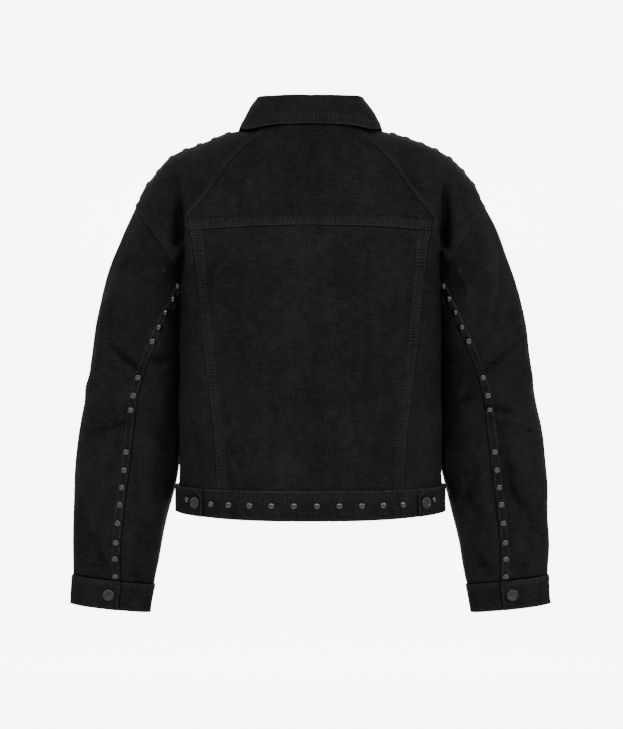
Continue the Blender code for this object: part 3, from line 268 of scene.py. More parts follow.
SLEEVE_CREASES_R = (
    (((0.2524, -0.163, 0.0), (0.2540, -0.200, 0.0030), (0.2524, -0.240, 0.0040),
      (0.2464, -0.295, 0.0030), (0.2404, -0.335, 0.0016)), 0.0052, 0.0100),
    (((0.3010, -0.283, 0.0), (0.2957, -0.2874, 0.0018), (0.268, -0.3120, 0.0026),
      (0.2425, -0.3348, 0.0016)), 0.0070, 0.0028),
    (((0.3030, -0.2900, -0.0010), (0.2990, -0.2930, -0.0032), (0.272, -0.3180, -0.0036),
      (0.2440, -0.3420, -0.0026)), 0.0026, 0.0060),
    (((0.258, -0.372, 0.0044), (0.312, -0.350, 0.0034)), 0.020, 0.018),
    (((0.2464, -0.3930, -0.0030), (0.272, -0.3985, -0.0032), (0.305, -0.4060, -0.0010)), 0.0050, 0.0024),
    (((0.2464, -0.3990, 0.0018), (0.279, -0.4065, 0.0026), (0.3116, -0.4150, 0.0010)), 0.0028, 0.0070),
    (((0.3010, -0.4190, -0.0008), (0.310, -0.4235, -0.0028), (0.319, -0.4290, -0.0008)), 0.0034, 0.0034),
    (((0.2640, -0.440, 0.0), (0.2684, -0.4576, -0.0022), (0.2891, -0.5145, -0.0036),
      (0.3158, -0.5603, -0.0020)), 0.0090, 0.0038),
    (((0.2760, -0.440, 0.0014), (0.300, -0.485, 0.0036), (0.322, -0.530, 0.0016)), 0.012, 0.013),
    (((0.2810, -0.520, 0.0), (0.2880, -0.545, 0.0026), (0.297, -0.590, 0.0022)), 0.0090, 0.0080),
    (((0.2283, -0.470, 0.0), (0.2275, -0.4995, -0.0034), (0.2226, -0.5223, -0.0030),
      (0.2230, -0.545, 0.0)), 0.0090, 0.0100),
    (((0.2380, -0.588, 0.0), (0.2398, -0.6097, -0.0030), (0.2586, -0.6322, -0.0020)), 0.0080, 0.0070),
    (((0.2835, -0.6231, -0.0020), (0.3101, -0.6194, -0.0020)), 0.0050, 0.0040),
    (((0.2011, -0.3897, -0.0014), (0.2140, -0.381, -0.0032), (0.2263, -0.3701, -0.0010)), 0.0070, 0.0090),
    (((0.2400, -0.430, 0.0010), (0.2440, -0.490, 0.0026), (0.250, -0.545, 0.0010)), 0.010, 0.010),
    (((0.2330, -0.236, 0.0), (0.2560, -0.262, -0.0012), (0.2830, -0.272, 0.0)), 0.012, 0.014),
)
print("creases:", len(BACK_CREASES) + len(FRONT_CREASES) + len(SLEEVE_CREASES_L) + len(SLEEVE_CREASES_R))

# %% [markdown]
# ## Unevenness everywhere
#
# Washed denim is never smooth between its main creases: it dries with low dents, broad and small.
# A handful of long waves with turned directions gives the broad ones, and shorter waves, laid on
# places that other waves have pushed about, give the small ones.

# %% Dents
def waves(u, v, longest, shortest, count, seed):
    """Sum of sines in turned directions; wavelengths run from longest to shortest, in metres."""
    rng = np.random.default_rng(seed)
    length = np.geomspace(longest, shortest, count)
    turn = rng.uniform(0, np.pi, count)
    phase = rng.uniform(0, 2 * np.pi, count)
    total = 0.0
    for size, angle, shift in zip(length, turn, phase):
        total = total + np.sin((u * np.cos(angle) + v * np.sin(angle)) * 2 * np.pi / size + shift)
    return total / np.sqrt(count / 2)


def rumple(u, v, seed):
    """Height of the unevenness: broad dents, small dents on a pushed place, and a fine tremble."""
    broad = waves(u, v, 0.180, 0.070, 9, seed) * 0.00060
    pushed_u = u + 0.006 * waves(u, v, 0.070, 0.030, 5, seed + 1)
    pushed_v = v + 0.006 * waves(u, v, 0.070, 0.030, 5, seed + 2)
    small = waves(pushed_u, pushed_v, 0.046, 0.020, 11, seed + 3) * 0.000035
    return broad + small + waves(pushed_u, pushed_v, 0.016, 0.009, 9, seed + 5) * 0.000006


# %% [markdown]
# ## The torso, the armhole and the sleeve
#
# The three surfaces are the same ones that the solids were cut from, so a finer piece lies just
# where the solid lies. Each returns points and the direction that faces out.

# %% Torso and armhole
def torso_fill(x, z, front):
    """Depth to the power of the rounding, times how far inside the width, times how far under the
    painted_highlight_and_worn_ridge: it is zero on the outline seen square on."""
    half = curve(TORSO, 1, z)
    depth = curve(TORSO, 3 if front else 2, z)
    rise = np.maximum((z - curve(RIDGE, 1, np.abs(x))) / SHOULDER_ARCH + 1.0, 0.0)
    return depth**ROUNDING * (1.0 - (np.abs(x) / half) ** ROUNDING) * (1.0 - rise**ROUNDING)


def torso(x, z, front):
    """Points and outward directions; the direction is the slope of the fill."""
    x, z = np.broadcast_arrays(np.asarray(x, float), np.asarray(z, float))
    side = -1.0 if front else 1.0
    y = np.maximum(torso_fill(x, z, front), 0.0) ** (1.0 / ROUNDING)
    step = 1e-4
    slope_x = (torso_fill(x + step, z, front) - torso_fill(x - step, z, front)) / (2 * step)
    slope_z = (torso_fill(x, z + step, front) - torso_fill(x, z - step, front)) / (2 * step)
    out = unit(np.stack([-slope_x, side * ROUNDING * y ** (ROUNDING - 1.0), -slope_z], axis=-1))
    y = y + crease_height(FRONT_CREASES if front else BACK_CREASES, x, z) * ease(y / 0.04)
    return np.stack([x, side * y, z], axis=-1), out


def armhole(turn, hand):
    """Points, outward and sleeveward directions on the armhole. hand is 1 on the wearer's left and
    -1 on the right; the right one is worked out there and turned over, to keep its own creases."""
    turn = np.asarray(turn, float)
    over = np.array([hand, 1.0, 1.0])

    def place(at):
        at = (at + 180.0) % 360.0 - 180.0
        size = np.abs(at)
        x = curve(ARMHOLE, 1, size) * hand
        z = curve(ARMHOLE, 2, size)
        behind, out_behind = torso(x, z, False)
        ahead, out_ahead = torso(x, z, True)
        is_behind = (at >= 0.0)[..., None]
        return np.where(is_behind, behind, ahead) * over, np.where(is_behind, out_behind, out_ahead) * over

    points, out = place(turn)
    along = place(turn + 1.5)[0] - place(turn - 1.5)[0]
    size = np.abs((turn + 180.0) % 360.0 - 180.0)
    groove = ease((size - CREASE_START) / (CREASE_END - CREASE_START))
    out = unit(np.stack([out[..., 0] * (1 - groove), out[..., 1], out[..., 2] * (1 - groove) - groove], -1))
    out = np.where((size > 179.0)[..., None], [0.0, 0.0, -1.0], out)
    sleeveward = unit(np.cross(along, out))
    return points, unit(np.cross(sleeveward, along)), sleeveward


# %% Sleeve
def sleeve_turn(around):
    """Turn on the armhole for a place around the sleeve: 0 back seam, 1 front seam, 2 back seam."""
    over = np.clip(around, 0.0, 1.0)
    under = np.clip(around, 1.0, 2.0) - 1.0
    return over, under, SEAM_TURN - 2 * SEAM_TURN * over - (360.0 - 2 * SEAM_TURN) * under


def sleeve_place(around, along, hand):
    """Cubic from the armhole (0) through the ovals to the cuff seam (8), along each line around."""
    around, along = np.broadcast_arrays(np.asarray(around, float), np.asarray(along, float))
    over, under, turn = sleeve_turn(around)
    start, _, sleeveward = armhole(turn, hand)
    rows = [start]
    for outer_x, outer_z, inner_x, inner_z, middle_y, half_depth, back_seam, front_seam, square in SLEEVE:
        angle = np.radians(back_seam - (back_seam + 360.0 - front_seam) * over
                           - (front_seam - back_seam) * under)
        x = (outer_x + inner_x) / 2 + (outer_x - inner_x) / 2 * np.cos(angle)
        z = (outer_z + inner_z) / 2 + (outer_z - inner_z) / 2 * np.cos(angle)
        swell = np.maximum(1 - np.abs(np.cos(angle)) ** square, 0.0) ** (1 / square) * np.sign(np.sin(angle))
        rows.append(np.stack([x, middle_y + half_depth * swell, z], axis=-1))
    rows = np.stack(rows)
    span = np.linalg.norm(np.diff(rows, axis=0), axis=-1, keepdims=True)
    step = np.diff(rows, axis=0) / span
    size = np.abs((turn + 180.0) % 360.0 - 180.0)
    dive = ease((size - 110.0) / 60.0)[..., None]
    first = unit(sleeveward * (1 - dive) + np.array([0.01, 0.0, -1.0]) * dive)
    middle = (step[:-1] * span[1:] + step[1:] * span[:-1]) / (span[1:] + span[:-1])
    slope = np.concatenate([first[None], middle, step[-1:]])
    low = np.clip(np.floor(along).astype(int), 0, len(SLEEVE) - 1)
    t = (along - low)[..., None]

    def pick(stack, index):
        return np.take_along_axis(stack, index[None, ..., None], axis=0)[0]

    length = pick(span, low)
    return (pick(rows, low) * (2 * t**3 - 3 * t**2 + 1) + pick(slope, low) * length * (t**3 - 2 * t**2 + t)
            + pick(rows, low + 1) * (3 * t**2 - 2 * t**3) + pick(slope, low + 1) * length * (t**3 - t**2))


def sleeve_folds(points, hand):
    """Height of the creases at points of a sleeve, from the table of its side."""
    table = SLEEVE_CREASES_L if hand > 0 else SLEEVE_CREASES_R
    return FOLD_SCALE * crease_height(table, points[..., 0], points[..., 2])


def torso_folds(points, hand, front):
    """Height of the creases at points of the torso; a piece of the right side is turned over first."""
    table = FRONT_CREASES if front else BACK_CREASES
    return crease_height(table, points[..., 0] * hand, points[..., 2])


def sleeve(around, along, hand):
    """Points and outward directions of one sleeve on the wearer's left side, creases included."""
    around, along = np.broadcast_arrays(np.asarray(around, float), np.asarray(along, float))
    points = sleeve_place(around, along, hand)
    last = len(SLEEVE) - 1e-6
    across = (sleeve_place(np.mod(around + 0.004, 2.0), along, hand)
              - sleeve_place(np.mod(around - 0.004, 2.0), along, hand))
    down = (sleeve_place(around, np.minimum(along + 0.02, last), hand)
            - sleeve_place(around, np.maximum(along - 0.02, 0.0), hand))
    out = unit(np.cross(across, down))
    edge_out = armhole(sleeve_turn(around)[2], hand)[1]
    near = (1 - ease(along / 0.4))[..., None]
    out = unit(edge_out * near + out * (1 - near))
    height = sleeve_folds(points, hand)
    show = np.where(out[..., 1] > 0, ease(out[..., 1] * 2.0), 0.75 * ease(-out[..., 1] * 2.0))
    return points + out * (height * show * ease(along / 0.5))[..., None], out


# %% [markdown]
# ## Laying a piece out
#
# A piece is a grid of points with even cells in the middle and close ones along its edges, because
# a sewn edge turns over within a millimetre. The spacing is measured on the cloth, not on the
# numbers that drive the shape, so a stitch or a thread has the same size all over the piece.

# %% Spacing
EDGE = np.array([0.0, 0.0004, 0.0009, 0.0016, 0.0026, 0.0040])


def travelled(points, axis):
    """Distance along a grid line from its start to each point."""
    length = np.linalg.norm(np.diff(points, axis=axis), axis=-1)
    start = np.zeros_like(np.take(length, [0], axis=axis))
    return np.concatenate([start, np.cumsum(length, axis=axis)], axis=axis)


def spaced(length, count):
    """Distances from 0 to length: close at both ends, count even cells between."""
    length = np.asarray(length, float)[..., None]
    middle = EDGE[-1] + (length - 2 * EDGE[-1]) * np.linspace(0.0, 1.0, count + 1)
    low = np.broadcast_to(EDGE[:-1], middle.shape[:-1] + (len(EDGE) - 1,))
    return np.concatenate([low, middle, length - low[..., ::-1]], axis=-1)


def read_rows(at, run, value):
    """Each row of value read by straight lines where its own run reaches the distances at."""
    low = np.clip((run[:, None, :] <= at[:, :, None]).sum(-1) - 1, 0, run.shape[1] - 2)
    start = np.take_along_axis(run, low, 1)
    share = (at - start) / np.maximum(np.take_along_axis(run, low + 1, 1) - start, 1e-12)
    return value[low] + (value[low + 1] - value[low]) * share


def lay(place, cell, crowd=1.0):
    """Grid of a piece. place(u, v) gives points and outward directions for u across and v up, 0 to 1.
    crowd above 1 takes its trial places closer together near u = 1, where the surface turns fast."""
    trial = 1 - (1 - np.linspace(0.0, 1.0, 221)) ** crowd
    coarse = np.linspace(0.0, 1.0, 221)
    spine = place(np.full((221, 1), 0.5), coarse[:, None])[0]
    rise = travelled(spine, 0)[:, 0]
    ups = np.interp(spaced(rise[-1], max(int(rise[-1] / cell), 2)), rise, coarse)[:, None]
    run = travelled(place(trial[None, :], ups)[0], 1)
    count = max(int(run[:, -1].max() / cell), 2)
    u = read_rows(spaced(run[:, -1], count), run, trial)
    return (*place(u, ups), u, ups)


# %% [markdown]
# ## Sewn edges
#
# Where two pieces meet, one is folded under and stitched down on top of the other. It stands
# about a millimetre proud over the width of the seam, sinks at each row of stitches, and washing
# shrinks the thread so that the band puckers in short bars. `sewn` gives that height from two
# distances: how far in from the edge a point is, and how far along it.

# %% The height of a sewn band
def bars(along, across, pitch, seed):
    """Uneven puckers: a sine whose phase wanders along the seam, leaning a little across it."""
    rng = np.random.default_rng(seed)
    wander = sum(np.sin(along * 2 * np.pi / size + rng.uniform(0, 6.28)) for size in (0.071, 0.043, 0.029))
    strong = 0.65 + 0.35 * np.sin(along * 2 * np.pi / 0.055 + rng.uniform(0, 6.28)) * np.sin(along * 83.0)
    return np.sin((along + 0.12 * across) * 2 * np.pi / pitch + 0.9 * wander) * strong


def sewn(inward, along, width, lift, pucker, seed, stitches):
    """Height of a band: lift inside its width, rounded at the edge, a dip at each stitch row, and bars
    that fade out beyond it. Where lift is below zero the piece lies underneath and sinks at its edge."""
    top = np.maximum(lift, 0.0)
    band = 1 - ease((inward - width + 0.0008) / 0.0018)
    height = top * band * (0.35 + 0.65 * ease(inward / 0.0012))
    on_top = top / np.maximum(np.max(top), 1e-9)
    for row in stitches:
        height = height - 0.00034 * bell((inward - row) / 0.0009) * on_top
    near = bell(np.maximum(inward - width, 0.0) / 0.0060) * ease(inward / 0.0015)
    height = height + 0.6 * pucker * on_top * bars(along, inward, 0.0102, seed) * near
    height = height + 0.4 * pucker * on_top * bars(along, inward, 0.0171, seed + 7) * near
    return height + np.minimum(lift, 0.0) * (1 - ease(inward / 0.0030))


# %% [markdown]
# ## From a grid to a mesh
#
# The outer face, the inner face and the rim make one closed wall. Two UV maps go with it: `cloth`
# the distance along and in from the nearest sewn edge, so that fine bars follow the seam. One
# attribute marks thin lines: above zero what stands proud and rubs pale, with a pale line beside each
# row of stitches that is part rubbed wear and part painted highlight; below zero painted shade, a dark
# line on the cloth right beside a lapped edge and in each stitch dip. A second attribute is painted
# shade and painted highlight for whole creases and rises: darker in hollows, paler on rises.

# %% Build a wall of cloth
made = {}
outsides = {}
FAR = 0.5


def smooth(field, times):
    """Field averaged with its neighbours, a number of times."""
    for _ in range(times):
        padded = np.pad(field, 1, mode="edge")
        field = (padded[1:-1, 1:-1] * 2 + padded[:-2, 1:-1] + padded[2:, 1:-1]
                 + padded[1:-1, :-2] + padded[1:-1, 2:]) / 6
    return field


def wear_and_painted_relief_shade(height):
    """Fine rise from 0 to 1, worn pale; broad rise from -1 to 1, which sets painted shade in hollows and
    painted highlight on rises.
    """
    fine = (height - smooth(height, 6)) / 0.00020
    broad = (height - smooth(height, 40)) / 0.0024
    return np.clip(fine, 0, 1), np.clip(broad, -1, 1)


def shell(name, outer, inner, fields, uvs, hand=1):
    """Closed wall between two grids as an object, with float fields and UV maps on the same grid."""
    rows, columns = outer.shape[:2]
    size = rows * columns
    number = np.arange(size).reshape(rows, columns)
    a, b, c, d = number[:-1, :-1], number[:-1, 1:], number[1:, 1:], number[1:, :-1]
    front = np.stack([a, b, c, d], -1).reshape(-1, 4)
    loop = np.concatenate([number[0, :-1], number[:-1, -1], number[-1, :0:-1], number[:0:-1, 0]])
    after = np.roll(loop, -1)
    rim = np.stack([after, loop, loop + size, after + size], -1)
    quads = np.concatenate([front, front[:, ::-1] + size, rim])
    points = np.concatenate([outer.reshape(-1, 3), inner.reshape(-1, 3)])
    if hand < 0:
        points = points * np.array([-1.0, 1.0, 1.0])
    corner = points[quads]
    if np.einsum("ij,ij->i", corner[:, 0], np.cross(corner[:, 1], corner[:, 2])).sum() < 0:
        quads = quads[:, ::-1]
    mesh = bpy.data.meshes.new(name)
    mesh.vertices.add(len(points))
    mesh.vertices.foreach_set("co", points.ravel())
    mesh.loops.add(quads.size)
    mesh.loops.foreach_set("vertex_index", quads.ravel().astype(np.int32))
    mesh.polygons.add(len(quads))
    mesh.polygons.foreach_set("loop_start", np.arange(len(quads), dtype=np.int32) * 4)
    mesh.update(calc_edges=True)
    for label, (across, up) in uvs.items():
        layer = mesh.uv_layers.new(name=label)
        pair = np.stack([np.tile(across.ravel(), 2), np.tile(up.ravel(), 2)], -1)
        layer.data.foreach_set("uv", pair[quads.ravel()].ravel().astype(np.float32))
    for label, field in fields.items():
        store = mesh.attributes.new(label, "FLOAT", "POINT")
        store.data.foreach_set("value", np.tile(field.ravel(), 2).astype(np.float32))
    slots = np.zeros(len(quads), np.int32)
    slots[len(front):2 * len(front)] = 1
    mesh.polygons.foreach_set("material_index", slots)
    mesh.shade_smooth()
    mesh.set_sharp_from_angle(angle=1.05)
    item = bpy.data.objects.new(name, mesh)
    bpy.context.scene.collection.objects.link(item)
    item["finish"] = ["denim", "denim_inside"]
    made[name] = item
    return item


def finish_cloth(name, points, out, edges, seed, thickness=CLOTH, hand=1, ruffle=1.0, folds=0.0, painted_shadow=0.0):
    """A piece from its grid. edges maps left, right, foot or head to (width, lift, pucker, stitch rows);
    lift may be one number or one for each row or column of the grid. folds is the creases' height, which
    only sets painted shade and painted highlight on the creases, and shade is a painted shadow, 1 where the
    piece lies right beside another edge. The first field is the fine proud height, worn pale, and a pale
    line beside each row of stitches, part rubbed wear and part painted highlight, both times 1 less the
    painted shade, minus the painted shade that darkens the cloth beside lapped edges and in stitch dips."""
    run_u, run_v = travelled(points, 1), travelled(points, 0)
    inward = {"left": run_u, "right": run_u[:, -1:] - run_u, "foot": run_v, "head": run_v[-1:] - run_v}
    middle_v = np.broadcast_to(run_v[:, run_v.shape[1] // 2][:, None], run_v.shape)
    across = run_u - run_u[:, run_u.shape[1] // 2][:, None]
    rim = np.minimum(np.minimum(run_u, inward["right"]), np.minimum(run_v, inward["head"]))
    calm = 0.2 + 0.8 * ease(rim / 0.012)
    height = rumple(run_u + seed * 0.37, middle_v + seed * 0.61, seed) * ruffle * calm
    along = np.zeros_like(run_u)
    nearest = np.full(run_u.shape, FAR)
    painted_seam_shade = np.zeros_like(run_u) + painted_shadow
    band = np.zeros_like(run_u)
    painted_highlight_and_rubbed_line = np.zeros_like(run_u)
    for order, (side, (width, lift, pucker, stitches)) in enumerate(edges.items()):
        away = inward[side]
        path = run_v if side in ("left", "right") else across + 1.0
        height = height + sewn(away, path, width, lift, pucker, seed * 11 + order, stitches)
        # painted shade: the under piece is darkened right beside a lapped edge, where that edge casts its
        # shadow
        painted_seam_shade = np.maximum(painted_seam_shade, (1 - ease((away - 0.0006) / 0.0022)) * (np.asarray(lift) < 0))
        for row in stitches:
            # painted shade: a darker line along the dip of each row of stitches
            painted_seam_shade = np.maximum(painted_seam_shade, 0.35 * bell((away - row) / 0.0008) * (np.asarray(lift) > 1e-5))
            # part rubbed wear, part painted highlight: a pale line on the ridge beside each row of stitches
            beside = bell((away - row - 0.0018) / 0.0008) * (np.asarray(lift) > 4e-4)
            painted_highlight_and_rubbed_line = np.maximum(painted_highlight_and_rubbed_line, beside)
        band = np.maximum(band, (1 - ease((away - width) / 0.0016 + 0.5)) * ease(np.asarray(lift) / 0.0006))
        if np.max(lift) > 0:
            shown = np.where(np.broadcast_to(lift, away.shape) > 1e-5, away, FAR)
            along = np.where(shown < nearest, path + order * 1.7, along)
            nearest = np.minimum(nearest, shown)
    outer = points + out * height[..., None]
    inner = points - out * thickness
    fine, broad = wear_and_painted_relief_shade(height)
    # The first field is wear above zero and painted shade below zero.
    fields = {"wear_and_painted_shade": (fine + painted_highlight_and_rubbed_line) * (1 - painted_seam_shade) - painted_seam_shade,
              # The second field is painted shade and painted highlight: darker in crease troughs and hollows,
              # paler on rises.
              "wear_and_painted_relief_shade": np.clip(broad + folds / 0.0150, -1, 1), "band": band}
    uvs = {"cloth": (across, middle_v), "seam": (along, nearest)}
    shell(name, outer, inner, fields, uvs, hand)
    outsides[name] = (outer * np.array([hand, 1.0, 1.0]), out * np.array([hand, 1.0, 1.0]), inward)


# %% [markdown]
# ## The back
#
# The yoke lies over the back panel, the panel's long seams lie over the side pieces, and the side
# pieces lie over the yoke along the raglan seams. That order decides which edge is proud.

# %% Seams of the torso as curves
SEWN_IN = 0.0045


def band_top(x, front):
    """Height of the foot of the body's cloth: a shallow bow, higher at the sides, sewn in behind the band."""
    middle = BAND_TOP[2] if front else BAND_TOP[0]
    return middle + (BAND_TOP[1] - middle) * (np.abs(x) / BAND_HALF) ** 2 - SEWN_IN


def yoke_seam(x):
    """Height of the yoke's lower edge: a shallow arch."""
    return YOKE_MIDDLE + (YOKE_CORNER - YOKE_MIDDLE) * (x / curve(SIDE_SEAM_IN, 1, YOKE_CORNER)) ** 2


CORNER_X = curve(SIDE_SEAM_IN, 1, YOKE_CORNER)

# %% Yoke and back panel
def yoke_place(u, v):
    """The yoke: rows from the yoke seam to the neck, as wide as the raglan seams leave it."""
    across = u * 2 - 1
    level = YOKE_CORNER + (0.002 - YOKE_CORNER) * v
    x = across * curve(SIDE_SEAM_IN, 1, level)
    return torso(x, level + (1 - v) * (yoke_seam(across * CORNER_X) - YOKE_CORNER), False)


def panel_place(u, v):
    """The back panel: rows from the waist seam to the yoke seam."""
    across = u * 2 - 1
    level = SEAM_ROWS_LOW[0] + (YOKE_CORNER - SEAM_ROWS_LOW[0]) * v
    x = across * curve(SIDE_SEAM_IN, 1, level)
    foot = band_top(across * curve(SIDE_SEAM_IN, 1, SEAM_ROWS_LOW[0]), False) - SEAM_ROWS_LOW[0]
    return torso(x, level + v * (yoke_seam(across * CORNER_X) - YOKE_CORNER) + (1 - v) ** 4 * foot, False)


UNDER = (0.003, -0.0005, 0.0, ())
points, out, _, _ = lay(yoke_place, 0.0024)
finish_cloth("back_yoke_cloth", points, out, {
    "foot": (0.0125, 0.0011, 0.00034, (0.0020, 0.0108)), "left": UNDER, "right": UNDER}, 3,
    folds=torso_folds(points, 1, False))
points, out, _, _ = lay(panel_place, 0.0026)
finish_cloth("back_panel_cloth", points, out, {
    "left": (0.0140, 0.0011, 0.00030, (0.0020, 0.0122)), "right": (0.0140, 0.0011, 0.00030, (0.0020, 0.0122)),
    "head": UNDER, "foot": UNDER}, 5, folds=torso_folds(points, 1, False))

# %% [markdown]
# ## The long side pieces and the fronts
#
# A side piece runs from the waist past the armhole to the neck, so its outer edge is three curves in
# turn: side seam, armhole and shoulder ridge. The grid is stretched between that edge and the
# inner seam. The fronts are built the same way, with a curved neck edge at the top.

# %% Side pieces
def outer_edge(t, turns):
    """Outer edge at row t: side seam up to the underarm, then the armhole, then the ridge."""
    low = len(SEAM_ROWS_LOW) - 1
    tip = low + len(turns) - 1
    side_z = np.interp(t, np.arange(low + 1), SEAM_ROWS_LOW)
    turn = np.interp(t, np.arange(low, tip + 1), turns)
    ridge_x = np.interp(t, np.arange(tip, tip + len(RIDGE_OUT)), RIDGE_OUT)
    ridge_z = curve(RIDGE, 1, ridge_x)
    x = np.where(t < low, curve(TORSO, 1, side_z), np.where(t < tip, curve(ARMHOLE, 1, turn), ridge_x))
    z = np.where(t < low, side_z, np.where(t < tip, curve(ARMHOLE, 2, turn), ridge_z))
    return x, z


BACK_ROWS = np.concatenate([SEAM_ROWS_LOW, BACK_INNER[1:], RIDGE_INNER[1:]])
SIDE_TIP = len(SEAM_ROWS_LOW) + len(BACK_TURNS) - 2


def side_place(hand):
    """Side piece: straight lines, seen square on, from the inner seam to the outer edge."""
    def place(u, v):
        t = v * (len(BACK_ROWS) - 1)
        inner_z = np.interp(t, np.arange(len(BACK_ROWS)), BACK_ROWS)
        inner_x = curve(SIDE_SEAM_IN, 1, inner_z)
        outer_x, outer_z = outer_edge(t, BACK_TURNS)
        x = inner_x + (outer_x - inner_x) * u
        z = inner_z + (outer_z - inner_z) * u
        foot = (band_top(x, False) - SEAM_ROWS_LOW[0]) * np.maximum(1 - v * 8, 0.0)
        found, away = torso(x * hand, z + foot, False)
        return found * np.array([hand, 1.0, 1.0]), away * np.array([hand, 1.0, 1.0])
    return place


def side_edges(v, rows, tip, low):
    """Lift of the outer edge on each row: a little along the side seam, and a band round the part of the
    armhole that is not folded in under the arm."""
    t = v * (rows - 1)
    return 0.0002 + 0.0010 * ease((t - low) / 1.5) * (1 - ease((t - tip) / 0.6))


for hand, tag in ((1, "L"), (-1, "R")):
    points, out, _, ups = lay(side_place(hand), 0.0026, 3.0)
    inner_z = np.interp(ups * (len(BACK_ROWS) - 1), np.arange(len(BACK_ROWS)), BACK_ROWS)
    raglan = ease((inner_z - YOKE_CORNER) / 0.004)
    outer_lift = side_edges(ups, len(BACK_ROWS), SIDE_TIP, len(SEAM_ROWS_LOW) + 4.5)
    finish_cloth(f"back_side_{tag}_cloth", points, out, {
        "left": (0.0080, -0.0005 + 0.0014 * raglan, 0.00012, (0.0018, 0.0068)),
        "right": (0.0165, outer_lift, 0.00026, (0.0024, 0.0145)),
        "foot": UNDER}, 17 + hand, hand=hand, folds=torso_folds(points, hand, False))

# %% Fronts
FRONT_ROWS = np.concatenate([SEAM_ROWS_LOW[:-1], np.linspace(-0.235, NECK_FRONT, 20)])
FRONT_TIP = len(SEAM_ROWS_LOW) + len(FRONT_TURNS) - 2


def front_place(hand):
    """Front: from the middle edge to the outer edge; its upper rows bend into the neck curve."""
    def place(u, v):
        t = v * (len(FRONT_ROWS) - 1)
        inner_z = np.interp(t, np.arange(len(FRONT_ROWS)), FRONT_ROWS)
        outer_x, outer_z = outer_edge(t, FRONT_TURNS)
        outer_z = np.where(v >= 1.0, NECK_SIDE, outer_z)
        scoop = np.clip((t - FRONT_TIP) / (len(FRONT_ROWS) - 1 - FRONT_TIP), 0.0, 1.0)
        climb = u * (1 - scoop) + (1 - np.sqrt(np.maximum(1 - u**2, 0.0))) * scoop
        x = outer_x * u
        z = inner_z + (outer_z - inner_z) * climb
        foot = (band_top(x, True) - SEAM_ROWS_LOW[0]) * np.maximum(1 - v * 8, 0.0)
        found, away = torso(x * hand, z + foot, True)
        return found * np.array([hand, 1.0, 1.0]), away * np.array([hand, 1.0, 1.0])
    return place


for hand, tag in ((1, "L"), (-1, "R")):
    points, out, _, ups = lay(front_place(hand), 0.0038, 3.0)
    outer_lift = side_edges(ups, len(FRONT_ROWS), FRONT_TIP, len(SEAM_ROWS_LOW) - 1)
    finish_cloth(f"front_{tag}_cloth", points, out, {
        "right": (0.0165, outer_lift, 0.00026, (0.0024, 0.0145)), "foot": UNDER}, 29 + hand, hand=hand,
        folds=torso_folds(points, hand, True))

# %% [markdown]
# ## Sleeves
#
# Each sleeve is two pieces. The top one wraps the outer side from the back seam to the front seam,
# and the lapped edge with the studs lies on its back seam. The creases differ from left to right, as
# they do on any jacket that has been put on.

# %% Sleeve pieces
LAST = len(SLEEVE) - 1e-6


def top_place(hand):
    """Top sleeve: u from the back seam over the outer side, v from the cuff up to the armhole."""
    def place(u, v):
        return sleeve(u, (1 - v) * LAST, hand)
    return place


def under_place(hand):
    """Under sleeve: u from the front seam under the arm to the back seam."""
    def place(u, v):
        return sleeve(1 + u, (1 - v) * LAST, hand)
    return place


for hand, tag in ((1, "L"), (-1, "R")):
    points, out, _, _ = lay(top_place(hand), 0.0030)
    finish_cloth(f"sleeve_top_{tag}_cloth", points, out, {
        "left": (0.0016, 0.0, 0.0, ()), "right": (0.0110, 0.0009, 0.00020, (0.0020, 0.0090)),
        "head": (0.004, -0.0006, 0.0, ()), "foot": UNDER}, 41 + hand, hand=hand, ruffle=1.25,
        folds=2 * sleeve_folds(points, hand))
    points, out, _, _ = lay(under_place(hand), 0.0030)
    finish_cloth(f"sleeve_under_{tag}_cloth", points, out, {
        "left": UNDER, "right": (0.004, -0.0006, 0.0, ()),
        "head": (0.004, -0.0006, 0.0, ()), "foot": UNDER}, 53 + hand, hand=hand, ruffle=1.25,
        folds=2 * sleeve_folds(points, hand))

print("cloth so far:", len(made))

# %% [markdown]
# ## Placket, waistband, tabs and cuffs
#
# These are folded strips, so both of their long edges are soft folds with a row of stitches close
# by. The waistband and the cuffs go once round and lap over their own end.

# %% Folded strips
FOLDED = (0.0030, 0.0004, 0.00012, (0.0022,))
TAB_FOLD = (0.0040, 0.0010, 0.00016, (0.0030,))


def placket_place(u, v):
    """Button strip over the front edges: a level step either side of the middle, lifted one cloth."""
    foot = band_top(0.0, True) + SEWN_IN + 0.0010
    x = (u * 2 - 1) * 0.0175
    z = foot + (-0.0806 - foot) * v
    found, away = torso(x, z, True)
    return found + away * (SEAM_GAP + CLOTH + 0.0006), away


def band_point(turn, height, lift):
    """Waistband: a rounded oval. turn 0 is the middle of the back, height runs 0 to 1."""
    turn, height, lift = np.broadcast_arrays(np.asarray(turn, float), height, lift)
    sin, cos = np.sin(np.radians(turn)), np.cos(np.radians(turn))
    power = 2.0 / ROUNDING
    x = BAND_HALF * np.sign(sin) * np.abs(sin) ** power
    depth = np.where(cos < 0, BAND_FRONT, BAND_BACK)
    y = depth * np.sign(cos) * np.abs(cos) ** power
    out = unit(np.stack([np.sign(sin) * (np.abs(x) / BAND_HALF) ** (ROUNDING - 1) / BAND_HALF,
                         np.sign(cos) * (np.abs(y) / depth) ** (ROUNDING - 1) / depth,
                         np.zeros_like(x)], axis=-1))
    side = sin**2
    top = np.where(cos < 0, BAND_TOP[2], BAND_TOP[0]) * (1 - side) + BAND_TOP[1] * side - SEAM_GAP
    foot = np.where(cos < 0, BAND_FOOT[2], BAND_FOOT[0]) * (1 - side) + BAND_FOOT[1] * side
    return np.stack([x, y, foot + (top - foot) * height], axis=-1) + out * lift[..., None], out


